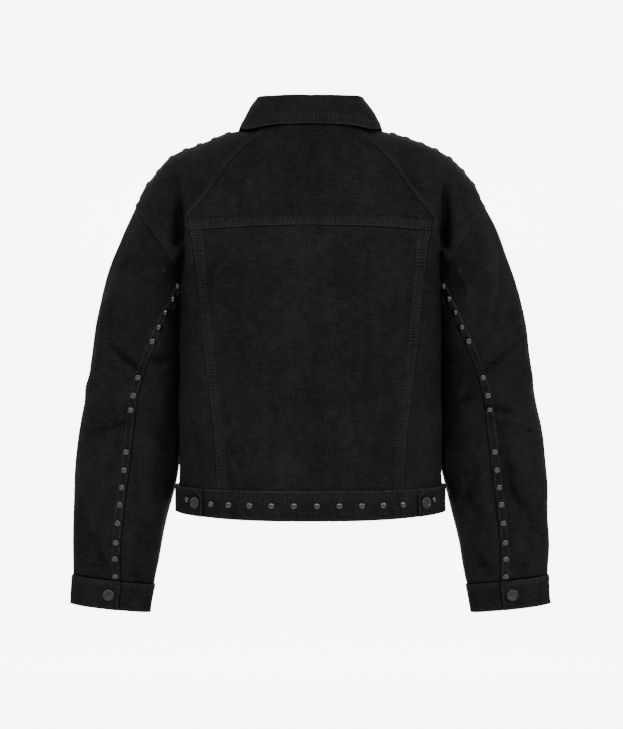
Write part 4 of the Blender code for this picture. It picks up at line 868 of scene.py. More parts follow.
def band_place(u, v):
    """Waistband from end to end; its wearer's-right end stands out over the other."""
    turn = (180.0 + BAND_LAP) * (1 - 2 * u)
    return band_point(turn, v, BAND_LIFT * ease((-turn - 146.0) / 20.0))


def tab_place(u, v):
    """Side tab: as deep as the band, with the upper corner of its tip (u = 0) rounded."""
    size = 0.62 + 0.38 * np.sqrt(np.maximum(1 - np.maximum(1 - u / 0.16, 0.0) ** 2, 0.0))
    return band_point(46.5 + 50.5 * u, v * size, 0.0007 + 0.0024)


def cuff_point(angle, height, lift):
    """Cuff: an oval from the sleeve's last section to the wrist. Angle 0 is outside, 90 behind."""
    angle, height, lift = np.broadcast_arrays(np.asarray(angle, float), height, lift)
    cos, sin = np.cos(np.radians(angle)), np.sin(np.radians(angle))
    ends = []
    for outer_x, outer_z, inner_x, inner_z, middle_y, half_depth in (SLEEVE[-1][:6], CUFF_FOOT):
        ends.append(np.stack([(outer_x + inner_x) / 2 + (outer_x - inner_x) / 2 * cos,
                              middle_y + half_depth * sin,
                              (outer_z + inner_z) / 2 + (outer_z - inner_z) / 2 * cos], axis=-1))
    top, foot = ends
    wide, deep = (SLEEVE[-1][0] - SLEEVE[-1][2]) / 2, SLEEVE[-1][5]
    out = unit(np.stack([cos / wide, sin / deep, np.zeros_like(cos)], axis=-1))
    top = top + unit(foot - top) * SEAM_GAP * 1.5
    return foot + (top - foot) * height[..., None] + out * (lift + 0.0012)[..., None], out


def cuff_place(u, v):
    """Cuff from the edge of its lap, once round and on under the lap."""
    angle = 101.8 - 396.0 * u
    return cuff_point(angle, v, 0.0036 * (1 - ease((59.8 - angle) / 40.0)))


points, out, _, _ = lay(placket_place, 0.0030)
finish_cloth("placket_cloth", points, out, {"left": FOLDED, "right": FOLDED, "head": UNDER}, 61, ruffle=0.5)
points, out, across, _ = lay(band_place, 0.0024)
# painted shadow: a dark line on the waistband beside each tab's tip
tab_tip_shadow = bell((np.abs((180.0 + BAND_LAP) * (1 - 2 * across)) - 45.6) / 0.9)
finish_cloth("waistband_cloth", points, out, {
    "head": (0.0160, 0.0007, 0.00026, (0.0036, 0.0150)), "foot": (0.0040, 0.0005, 0.00020, (0.0026,)),
    "left": FOLDED, "right": FOLDED}, 67, thickness=BAND_CLOTH, ruffle=0.6, painted_shadow=tab_tip_shadow)
for hand, tag in ((1, "L"), (-1, "R")):
    points, out, _, _ = lay(tab_place, 0.0022)
    finish_cloth(f"tab_{tag}_cloth", points, out, {
        "left": TAB_FOLD, "head": TAB_FOLD, "foot": FOLDED}, 71 + hand, thickness=TAB_CLOTH, hand=hand,
        ruffle=0.4)
    points, out, around, _ = lay(cuff_place, 0.0024)
    finish_cloth(f"cuff_{tag}_cloth", points, out, {
        "head": (0.0100, 0.0006, 0.00022, (0.0020, 0.0098)), "left": FOLDED,
        "foot": (0.0040, 0.0005, 0.00018, (0.0026,))}, 79 + hand, thickness=BAND_CLOTH, hand=hand, ruffle=0.7,
        # painted shadow: the cuff is darkened in a narrow strip right beside the edge of its lap
        painted_shadow=bell((around * 396.0 - 358.6) / 1.6))

# %% [markdown]
# ## The collar
#
# The collar is one cloth that stands on the neck seam, folds over and falls to its edge. It is
# worked out as three stretches in turn: a straight stand, half a circle for the fold, and a leaf
# that bulges a little. A real collar is two plies sewn round their edge, so its edge is full.

# %% Collar
LEAF_EDGE = (
    (0.0, 0.0000, 0.0755, 0.0030), (30.0, 0.0510, 0.0655, 0.0020), (60.0, 0.0860, 0.0420, -0.0020),
    (90.0, 0.1005, 0.0000, 0.0003), (115.0, 0.1010, -0.0530, -0.0160), (140.0, 0.0850, -0.0950, -0.0700),
    (160.0, 0.0660, -0.1130, -0.1060), (172.0, 0.0520, -0.1240, -0.1260),
)
COLLAR_FOLD = (
    (0.0, 0.0375), (45.0, 0.0400), (75.0, 0.0430), (90.0, 0.0420), (110.0, 0.0180), (135.0, -0.0140),
    (160.0, -0.0340), (172.0, -0.0400),
)
COLLAR_END = 172.0
FOLD_RADIUS = 0.0036


def neckline(turn):
    """Neck edge: turn 0 is the middle back, 90 the wearer's left, 180 the middle front."""
    angle = np.radians(np.abs(turn))
    x = NECK_HALF * np.sin(angle)
    back_z = NECK_BACK + (NECK_SIDE - NECK_BACK) * (x / NECK_HALF) ** 2
    front_z = NECK_FRONT + (NECK_SIDE - NECK_FRONT) * (1 + np.cos(angle))
    is_front = angle > np.pi / 2
    z = np.where(is_front, front_z, back_z)
    found = np.where(is_front[..., None], torso(x, z, True)[0], torso(x, z, False)[0])
    found[..., 0] *= np.sign(turn) + (turn == 0)
    return found


def collar_middle(turn, part):
    """Middle of the collar's cloth: part 0 to 0.3 is the stand, to 0.5 the fold, to 1 the leaf."""
    turn, part = np.broadcast_arrays(np.asarray(turn, float), np.asarray(part, float))
    size, sign, angle = np.abs(turn), np.where(turn < 0, -1.0, 1.0), np.radians(np.abs(turn))
    foot = neckline(turn)
    foot[..., 2] -= 0.0050
    foot -= unit(foot * np.array([1.0, 1.0, 0.0])) * (CLOTH + COLLAR_CLOTH)
    depth = np.where(angle > np.pi / 2, 0.0740, 0.0655)
    fold = np.stack([sign * 0.0690 * np.sin(angle), depth * np.cos(angle), curve(COLLAR_FOLD, 1, size)], -1)
    away = unit(fold * np.array([1.0, 1.0, 0.0]))
    edge_x, edge_y, edge_z = (curve(LEAF_EDGE, column, size) for column in (1, 2, 3))
    edge = np.stack([sign * edge_x, edge_y, edge_z], -1)
    up = np.array([0.0, 0.0, 1.0])
    t_stand = np.clip(part / 0.3, 0.0, 1.0)[..., None]
    t_fold = np.clip((part - 0.3) / 0.2, 0.0, 1.0)[..., None]
    t_leaf = np.clip((part - 0.5) / 0.5, 0.0, 1.0)[..., None]
    arc = np.pi * t_fold
    turned_over = fold + away * FOLD_RADIUS + (-away * np.cos(arc) + up * np.sin(arc)) * FOLD_RADIUS
    leaf_top = fold + away * FOLD_RADIUS * 2
    leaf = leaf_top + (edge - leaf_top) * t_leaf + (away + up) / 2 * 0.0045 * np.sin(np.pi * t_leaf)
    return np.where(t_stand < 1, foot + (fold - foot) * t_stand, np.where(t_leaf > 0, leaf, turned_over))


def collar_place(u, v):
    """Outer face of the collar, half a cloth out from its middle along the cross of its two slopes."""
    u, v = np.broadcast_arrays(np.asarray(u, float), np.asarray(v, float))

    def at(p, q):
        return collar_middle((np.clip(p, 0, 1) * 2 - 1) * COLLAR_END, np.clip(q, 0, 1))

    middle = at(u, v)
    out = unit(np.cross(at(u + 0.003, v) - at(u - 0.003, v), at(u, v + 0.004) - at(u, v - 0.004)))
    return middle + out * COLLAR_CLOTH / 2, out


points, out, _, _ = lay(collar_place, 0.0024)
finish_cloth("collar_cloth", points, out, {
    "head": (0.0140, 0.0006, 0.00030, (0.0034,)), "left": (0.0070, 0.0005, 0.0002, (0.0034,)),
    "right": (0.0070, 0.0005, 0.0002, (0.0034,))}, 83, thickness=COLLAR_CLOTH, ruffle=0.8)

# %% [markdown]
# ## The lapped edges that carry the studs
#
# Along the back seam of each sleeve, and just behind each shoulder seam, the cloth is lapped over
# itself in a narrow edge that stands proud. Its place is read from the cloth under it, so it
# follows every crease there.

# %% Reading a line on a finished piece
def beside(name, edge, distances):
    """Lines on the outside of a piece, at distances in from one edge: points and outward directions.
    Each grid line is read at the place where its own run from the edge reaches the distance."""
    outer, out, inward = outsides[name]
    run = inward[edge]
    both = np.concatenate([outer, out], axis=-1)
    if edge in ("foot", "head"):
        run, both = run.T, both.transpose(1, 0, 2)
    if edge in ("right", "head"):
        run, both = run[:, ::-1], both[:, ::-1]
    distances = np.broadcast_to(np.asarray(distances, float), (len(run), np.size(distances)))
    low = np.clip((run[:, None, :] <= distances[:, :, None]).sum(-1) - 1, 0, run.shape[1] - 2)
    start = np.take_along_axis(run, low, 1)
    share = ((distances - start) / np.maximum(np.take_along_axis(run, low + 1, 1) - start, 1e-9))[..., None]
    first = np.take_along_axis(both, low[..., None], 1)
    found = first + (np.take_along_axis(both, low[..., None] + 1, 1) - first) * share
    return found[..., :3], unit(found[..., 3:])


def lapped_edge(name, source, edge, keep, first, last, seed, hand):
    """A lapped edge read from a source piece: a raised strip, full at its sides, dipped at two rows of
    stitches, with short puckers across it. hand is 1 on the wearer's left and -1 on the right."""
    width = last - first
    turn = np.array([0.0, 0.0003, 0.0007, 0.0013, 0.0020])
    profile = first + np.concatenate([turn, np.linspace(0.0028, width - 0.0028, 4), width - turn[::-1]])
    found, away = beside(source, edge, profile)
    over = np.array([hand, 1.0, 1.0])
    found, away = found[keep] * over, away[keep] * over
    across = np.broadcast_to(profile - first, found.shape[:2])
    run = travelled(found, 0)
    side = np.minimum(across, width - across)
    height = 0.0013 * (0.30 + 0.70 * ease(side / 0.0013)) + SEAM_GAP
    height = height - 0.00030 * bell((side - 0.0019) / 0.0006)
    height = height + 0.00022 * bars(run, across, 0.0062, seed) * ease(side / 0.0010)
    outer = found + away * height[..., None]
    fine, broad = wear_and_painted_relief_shade(height)
    uvs = {"cloth": (across, run), "seam": (run, side)}
    # The second field is painted shade and painted highlight from the strip's own rises and hollows.
    fields = {"wear_and_painted_shade": fine, "wear_and_painted_relief_shade": broad, "band": np.zeros_like(fine)}
    shell(name, outer, found - away * 0.0002, fields, uvs, hand)
    inward = {"left": across, "right": width - across, "foot": run, "head": run[-1:] - run}
    outsides[name] = (outer * over, away * over, inward)


for hand, tag in ((1, "L"), (-1, "R")):
    source = f"sleeve_top_{tag}_cloth"
    lapped_edge(f"sleeve_strip_{tag}", source, "left", slice(1, -1), 0.0014, 0.0122, 91 + hand, hand)
    source = f"back_side_{tag}_cloth"
    above_tip = slice(int(np.argmax(outsides[source][0][:, -1, 2] > -0.0975)), -1)
    lapped_edge(f"shoulder_strip_{tag}", source, "right", above_tip, 0.0006, 0.0112, 95 + hand, hand)

# %% [markdown]
# ## Studs and buttons
#
# A stud is a stamped cap with a few flat faces, pressed through the cloth. A button is a turned
# disc with a raised rim. Each is a short profile carried round an axis, and there are few faces on
# a stud because there are dozens of them.

# %% Shapes turned on an axis
def turned(profile, sides, centre, out, twist=0.0):
    """Profile of (radius, height) carried round an axis. Centres and axes may be whole lists."""
    centre, out = np.atleast_2d(centre), unit(np.atleast_2d(out))
    side = unit(np.cross(np.array([0.0, 0.0, 1.0]), out))
    up = np.cross(out, side)
    angle = np.arange(sides) * 2 * np.pi / sides + twist
    spoke = np.cos(angle)[None, :, None] * side[:, None] + np.sin(angle)[None, :, None] * up[:, None]
    radius, height = np.array(profile).T
    rings = (centre[:, None, None] + spoke[:, None] * radius[None, :, None, None]
             + out[:, None, None] * height[None, :, None, None])
    ends = centre[:, None] + out[:, None] * height[[0, -1]][None, :, None]
    points = np.concatenate([rings.reshape(len(centre), -1, 3), ends], axis=1)
    number = np.arange(len(profile) * sides).reshape(len(profile), sides)
    after = np.roll(number, -1, axis=1)
    walls = np.stack([number[:-1], after[:-1], after[1:], number[1:]], -1).reshape(-1, 4)
    foot, top = len(profile) * sides, len(profile) * sides + 1
    caps = np.concatenate([np.stack([after[0], number[0], np.full(sides, foot)], -1),
                           np.stack([number[-1], after[-1], np.full(sides, top)], -1)])
    return points, walls, caps


def joined(name, points, walls, caps, finish, sharp):
    """Many equal shapes as one object: the same faces with their numbers moved on for each shape."""
    count, each = points.shape[:2]
    shift = (np.arange(count) * each)[:, None, None]
    faces = (walls[None] + shift).reshape(-1, 4).tolist() + (caps[None] + shift).reshape(-1, 3).tolist()
    mesh = bpy.data.meshes.new(name)
    mesh.from_pydata(points.reshape(-1, 3).tolist(), [], faces)
    mesh.shade_smooth()
    mesh.set_sharp_from_angle(angle=sharp)
    item = bpy.data.objects.new(name, mesh)
    bpy.context.scene.collection.objects.link(item)
    item["finish"] = [finish]
    made[name] = item
    print(f"{name}: {count} shapes, {len(faces)} faces")
    return item


# %% Studs
STUD = ((0.0049, -0.0004), (0.0050, 0.0013), (0.0043, 0.0022), (0.0030, 0.0027), (0.0015, 0.0030),
        (0.0005, 0.00305))
SLEEVE_STUDS = (-0.2222, -0.2400, -0.2590, -0.2798, -0.2995, -0.3500, -0.3749, -0.3954,
                -0.4547, -0.4804, -0.5050, -0.5295, -0.5562, -0.5842, -0.6079, -0.6335)
SHOULDER_STUDS = (0.117, 0.137, 0.158, 0.178, 0.198, 0.2165, 0.231)
BAND_STUDS = (0.1366, 0.1118, 0.0833, 0.0534, 0.0227, -0.0086, -0.0392, -0.0700, -0.0993, -0.1266)


def line_at(name, edge, distance, column, places):
    """Places along a line beside an edge, found by one of their three coordinates."""
    found, away = beside(name, edge, [distance])
    order = np.argsort(found[:, 0, column])
    both = np.concatenate([found[order, 0], away[order, 0]], axis=-1)
    behind = both[:, 1] > -0.09
    both = both[behind]
    read = np.stack([np.interp(places, both[:, column], both[:, k]) for k in range(6)], axis=-1)
    return read[:, :3], unit(read[:, 3:])


stud_spots = {}
for hand, tag in ((1, "L"), (-1, "R")):
    centres, axes = line_at(f"sleeve_strip_{tag}", "left", 0.0054, 2, np.array(SLEEVE_STUDS))
    turned_up = 0.65 * ease((centres[:, 2:] + 0.275) / 0.050)
    axes = unit(axes * (1 - turned_up) + np.array([0.0, 1.0, 0.0]) * turned_up)
    stud_spots[f"sleeve_studs_{tag}"] = (centres, axes)
    centre, axis = band_point(59.4, 0.57, 0.0007 + 0.0024)
    over = np.array([hand, 1.0, 1.0])
    stud_spots[f"tab_stud_{tag}"] = (np.atleast_2d(centre * over), np.atleast_2d(axis * over))
    centres, axes = line_at(f"shoulder_strip_{tag}", "left", 0.0053, 0, np.array(SHOULDER_STUDS) * hand)
    stud_spots[f"shoulder_studs_{tag}"] = (centres - axes * 0.0010, axes)
stud_spots["waist_studs"] = line_at("waistband_cloth", "head", 0.0199, 0, np.array(BAND_STUDS))
for name, (centres, axes) in stud_spots.items():
    joined(name, *turned(STUD, 8, centres, axes, twist=0.39), "pewter", 1.1)

# %% Buttons
BUTTON = ((0.0037, 0.0003), (0.0037, 0.0012), (0.0076, 0.0014), (0.0082, 0.0018), (0.0083, 0.0023),
          (0.0081, 0.0028), (0.0077, 0.0031), (0.0072, 0.0032), (0.0068, 0.0030), (0.0065, 0.0026),
          (0.0061, 0.0024), (0.0050, 0.0025), (0.0034, 0.0027), (0.0017, 0.0028))


def button(name, centre, axis):
    """One shank button: neck, disc, rim, a sunk ring and a plain middle that is slightly domed."""
    return joined(name, *turned(BUTTON, 40, centre, axis), "gunmetal", 0.9)


for hand, tag in ((1, "L"), (-1, "R")):
    over = np.array([hand, 1.0, 1.0])
    centre, axis = band_point(51.0, 0.5, 0.0007 + 0.0024)
    button(f"tab_button_{tag}_metal", centre * over, axis * over)
    centre, axis = cuff_point(88.0, 0.52, 0.0036 + SEAM_GAP)
    button(f"cuff_button_{tag}_metal", centre * over, axis * over)
for number, height in enumerate((-0.118, -0.216, -0.314, -0.412), start=1):
    centre, axis = torso(0.0, height, True)
    button(f"front_button_{number}_metal", centre + axis * (SEAM_GAP + CLOTH), axis)
centre, axis = band_point(-180.0, 0.5, BAND_LIFT)
button("front_button_5_metal", centre, axis)

# %% [markdown]
# ## Stitches
#
# The seams are sewn in black thread, so each stitch is only a small bead in a dimple. A bead is
# drawn out of eight corners and two tips, and is laid every few millimetres along a line that is
# read from the cloth.

# %% Stitches along a line
STITCH_LENGTH = 0.0027
STITCH_PITCH = 0.0035
stitch_parts = []


def stitch(name, edge, distance, start=0.0, end=1.0):
    """Beads along a line beside an edge, from start to end as shares of its length."""
    found, away = beside(name, edge, [distance])
    path, lean = found[:, 0], away[:, 0]
    run = travelled(path, 0)
    middle = np.arange(run[-1] * start + STITCH_PITCH, run[-1] * end - STITCH_PITCH, STITCH_PITCH)
    half = STITCH_LENGTH / 2

    def at(place, table):
        return np.stack([np.interp(place, run, table[:, k]) for k in range(3)], axis=-1)

    tip_a, tip_b = at(middle - half, path), at(middle + half, path)
    centre, up = at(middle, path), at(middle, lean)
    along = unit(tip_b - tip_a)
    side = unit(np.cross(up, along))
    corners = []
    for share in (-0.30, 0.30):
        for sideways, high in ((-0.00030, 0.00002), (0.0, 0.00034), (0.00030, 0.00002), (0.0, -0.0002)):
            corners.append(centre + along * STITCH_LENGTH * share + side * sideways + up * high)
    tips = [tip_a - up * 0.00015, tip_b - up * 0.00015]
    stitch_parts.append(np.stack(corners + tips, axis=1))


for edge_name, edge, rows in (
        ("back_yoke_cloth", "foot", (0.0020, 0.0108)),
        ("back_panel_cloth", "left", (0.0020, 0.0122)), ("back_panel_cloth", "right", (0.0020, 0.0122)),
        ("waistband_cloth", "head", (0.0036, 0.0150)), ("waistband_cloth", "foot", (0.0026,)),
        ("placket_cloth", "left", (0.0022,)), ("placket_cloth", "right", (0.0022,)),
        ("collar_cloth", "head", (0.0034,))):
    for row in rows:
        stitch(edge_name, edge, row)
for tag in ("L", "R"):
    side = f"back_side_{tag}_cloth"
    outer = outsides[side][0]
    inner_run = travelled(outer[:, 0], 0)
    corner = inner_run[np.argmax(outer[:, 0, 2] > YOKE_CORNER)] / inner_run[-1]
    outer_run = travelled(outer[:, -1], 0)
    arm = outer_run[np.argmax(outer[:, -1, 2] > -0.190)] / outer_run[-1]
    tip = outer_run[np.argmax(outer[:, -1, 2] > -0.110)] / outer_run[-1]
    for row in (0.0018, 0.0068):
        stitch(side, "left", row, start=corner)
    for row in (0.0024, 0.0145):
        stitch(side, "right", row, start=arm, end=tip)
    front = f"front_{tag}_cloth"
    outer = outsides[front][0]
    outer_run = travelled(outer[:, -1], 0)
    arm = outer_run[np.argmax(outer[:, -1, 2] > -0.232)] / outer_run[-1]
    tip = outer_run[np.argmax(outer[:, -1, 2] > -0.110)] / outer_run[-1]
    for row in (0.0024, 0.0145):
        stitch(front, "right", row, start=arm, end=tip)
    for row in (0.0020, 0.0090):
        stitch(f"sleeve_top_{tag}_cloth", "right", row)
    for row in (0.0019, 0.0089):
        stitch(f"sleeve_strip_{tag}", "left", row)
        stitch(f"shoulder_strip_{tag}", "left", row)
    for edge in ("left", "head", "foot"):
        stitch(f"tab_{tag}_cloth", edge, 0.0022)
    stitch(f"cuff_{tag}_cloth", "head", 0.0020, end=0.90)
    stitch(f"cuff_{tag}_cloth", "head", 0.0098, end=0.90)
    stitch(f"cuff_{tag}_cloth", "foot", 0.0026, end=0.90)
    stitch(f"cuff_{tag}_cloth", "left", 0.0022)
beads = np.concatenate(stitch_parts)
ring = np.array([[0, 1, 5, 4], [1, 2, 6, 5], [2, 3, 7, 6], [3, 0, 4, 7]])
tips = np.array([[1, 0, 8], [2, 1, 8], [3, 2, 8], [0, 3, 8], [4, 5, 9], [5, 6, 9], [6, 7, 9], [7, 4, 9]])
half = len(beads) // 2
joined("stitches_a", beads[:half], ring, tips, "thread", 3.0)
joined("stitches_b", beads[half:], ring, tips, "thread", 3.0)

# %% [markdown]
# ## Materials
#
# Washed black denim has three things to show: the diagonal twill with thick and thin threads, a
# cloudy wash, and grey lines where seams and ridges have rubbed. Each is a node group, because the
# outside, the inside and the bands use them with their own strengths. On top of these the material
# paints shade and highlight: near black beside laps, in stitch dips and in crease troughs, paler on rises.

# %% Node helpers
def group(name, inputs, outputs):
    """An empty shader group with named number sockets; returns the tree and its two end nodes."""
    tree = bpy.data.node_groups.new(name, "ShaderNodeTree")
    for label, kind, value in inputs:
        socket = tree.interface.new_socket(name=label, in_out="INPUT", socket_type=kind)
        if value is not None:
            socket.default_value = value
    for label, kind in outputs:
        tree.interface.new_socket(name=label, in_out="OUTPUT", socket_type=kind)
    return tree, tree.nodes.new("NodeGroupInput"), tree.nodes.new("NodeGroupOutput")


def feed(tree, socket, value):
    """Sets a socket to a number or a triple, or links another socket to it."""
    if hasattr(value, "is_output"):
        tree.links.new(value, socket)
    else:
        socket.default_value = value


def maths(tree, kind, *values):
    """One Math node: the values in order, its result."""
    node = tree.nodes.new("ShaderNodeMath")
    node.operation = kind
    for socket, value in zip(node.inputs, values):
        feed(tree, socket, value)
    return node.outputs[0]


def noise(tree, vector, stretch, detail=2.0, rough=0.5):
    """Noise with its own spacing in each direction: stretch is cycles per metre."""
    scale = tree.nodes.new("ShaderNodeMapping")
    feed(tree, scale.inputs["Vector"], vector)
    feed(tree, scale.inputs["Scale"], stretch)
    node = tree.nodes.new("ShaderNodeTexNoise")
    feed(tree, node.inputs["Vector"], scale.outputs[0])
    feed(tree, node.inputs["Scale"], 1.0)
    feed(tree, node.inputs["Detail"], detail)
    feed(tree, node.inputs["Roughness"], rough)
    return node.outputs["Fac"]


def ramp(tree, value, low, high, to_low=0.0, to_high=1.0):
    """Smooth step of a value between two stops, put out between two other numbers."""
    node = tree.nodes.new("ShaderNodeMapRange")
    node.interpolation_type = "SMOOTHSTEP"
    for socket, number in zip(node.inputs, (value, low, high, to_low, to_high)):
        feed(tree, socket, number)
    return node.outputs[0]


# %% Twill
def build_twill():
    """Twill: a sine of the diagonal, cut by a sine across, with threads that swell and thin."""
    tree, start, end = group("Twill", [("Thread map", "NodeSocketVector", None),
                                       ("Wale spacing", "NodeSocketFloat", 0.0012)],
                             [("Height", "NodeSocketFloat"), ("Tone", "NodeSocketFloat")])
    place = start.outputs["Thread map"]
    split = tree.nodes.new("ShaderNodeSeparateXYZ")
    feed(tree, split.inputs[0], place)
    across, along = split.outputs[0], split.outputs[1]
    turns = maths(tree, "DIVIDE", 6.2832, start.outputs["Wale spacing"])
    lean = maths(tree, "ADD", across, maths(tree, "MULTIPLY", along, 0.62))
    wale = maths(tree, "SINE", maths(tree, "MULTIPLY", lean, turns))
    cross = maths(tree, "SINE", maths(tree, "MULTIPLY", along, maths(tree, "MULTIPLY", turns, 1.7)))
    weft = noise(tree, place, (55.0, 560.0, 1.0), 3.0, 0.6)
    warp = noise(tree, place, (600.0, 42.0, 1.0), 3.0, 0.6)
    thread = noise(tree, place, (1500.0, 1100.0, 1.0), 1.0)
    height = maths(tree, "ADD", maths(tree, "MULTIPLY", wale, 0.5), maths(tree, "MULTIPLY", cross, 0.22))
    slubs = maths(tree, "ADD", maths(tree, "MULTIPLY", warp, 1.3), maths(tree, "MULTIPLY", weft, 1.8))
    height = maths(tree, "ADD", height, slubs)
    height = maths(tree, "ADD", height, maths(tree, "MULTIPLY", thread, 1.2))
    tone = maths(tree, "ADD", maths(tree, "MULTIPLY", warp, 0.48), maths(tree, "MULTIPLY", weft, 0.75))
    tone = maths(tree, "ADD", tone, maths(tree, "MULTIPLY", thread, 0.35))
    tone = maths(tree, "ADD", tone, maths(tree, "MULTIPLY", wale, 0.06))
    feed(tree, end.inputs["Height"], height)
    feed(tree, end.inputs["Tone"], tone)
    return tree


# %% Wash and rubbed seams
def build_wash():
    """Wash: broad clouds, middle blotches and short pale flecks, each a noise, added up."""
    tree, start, end = group("Wash", [("Place", "NodeSocketVector", None)], [("Tone", "NodeSocketFloat")])
    place = start.outputs["Place"]
    cloud = noise(tree, place, (14.0, 14.0, 14.0), 3.0, 0.55)
    blotch = noise(tree, place, (60.0, 60.0, 45.0), 4.0, 0.6)
    fleck = noise(tree, place, (300.0, 300.0, 330.0), 3.0, 0.7)
    streak = noise(tree, place, (55.0, 55.0, 5.0), 2.0)
    tone = maths(tree, "ADD", maths(tree, "MULTIPLY", cloud, 0.35), maths(tree, "MULTIPLY", blotch, 0.32))
    tone = maths(tree, "ADD", tone, maths(tree, "MULTIPLY", streak, 0.18))
    feed(tree, end.inputs["Tone"], maths(tree, "ADD", tone, maths(tree, "MULTIPLY", fleck, 0.50)))
    return tree


def build_rubbed():
    """Rubbed seam: a broken pale line on the folded edge, and short bars that fade off the band."""
    tree, start, end = group("Rubbed seam", [("Seam map", "NodeSocketVector", None),
                                             ("Band width", "NodeSocketFloat", 0.014)],
                             [("Edge", "NodeSocketFloat"), ("Bars", "NodeSocketFloat")])
    split = tree.nodes.new("ShaderNodeSeparateXYZ")
    feed(tree, split.inputs[0], start.outputs["Seam map"])
    along, inward = split.outputs[0], split.outputs[1]
    broken = noise(tree, start.outputs["Seam map"], (120.0, 20.0, 1.0), 2.0)
    edge = ramp(tree, inward, 0.0011, 0.0027, 1.0, 0.0)
    edge = maths(tree, "MULTIPLY", edge, ramp(tree, broken, 0.30, 0.60, 0.40, 1.0))
    wander = noise(tree, start.outputs["Seam map"], (60.0, 30.0, 1.0), 2.0)
    bend = maths(tree, "ADD", along, maths(tree, "MULTIPLY", inward, 0.15))
    turns = maths(tree, "ADD", maths(tree, "MULTIPLY", bend, 1420.0), maths(tree, "MULTIPLY", wander, 14.0))
    bars_here = maths(tree, "SINE", turns)
    far = maths(tree, "SUBTRACT", inward, start.outputs["Band width"])
    fade = ramp(tree, far, 0.0, 0.007, 1.0, 0.0)
    strong = ramp(tree, noise(tree, start.outputs["Seam map"], (38.0, 90.0, 1.0), 2.0), 0.35, 0.65, 0.25, 1.0)
    feed(tree, end.inputs["Edge"], edge)
    feed(tree, end.inputs["Bars"], maths(tree, "MULTIPLY", maths(tree, "MULTIPLY", bars_here, fade), strong))
    return tree


twill, wash, rubbed = build_twill(), build_wash(), build_rubbed()
print("groups:", [tree.name for tree in (twill, wash, rubbed)])


# %% Denim
def fresh(name):
    """A new material, its node tree and its Principled shader."""
    item = bpy.data.materials.new(name)
    item.use_nodes = True
    return item, item.node_tree, item.node_tree.nodes["Principled BSDF"]


def field(tree, name):
    """A float field of the mesh as a number socket."""
    node = tree.nodes.new("ShaderNodeAttribute")
    node.attribute_name = name
    return node.outputs["Fac"]


def mixed(tree, share, low, high):
    """Colour socket: low + (high - low) times share, which is kept within 0 and 1."""
    node = tree.nodes.new("ShaderNodeMix")
    node.data_type = "RGBA"
    feed(tree, node.inputs[0], share)
    feed(tree, node.inputs[6], low)
    feed(tree, node.inputs[7], high)
    return node.outputs[2]


def placed(tree, what, **values):
    """A group placed in a material, its sockets set or linked by name (spaces as underscores)."""
    node = tree.nodes.new("ShaderNodeGroup")
    node.node_tree = what
    for label, value in values.items():
        feed(tree, node.inputs[label.replace("_", " ")], value)
    return node


# Painted shade colour: near black, for cloth beside laps, in stitch dips and in crease troughs, where shadow
# falls.
PAINTED_SHADE_BLACK = (0.0006, 0.0006, 0.0007, 1)


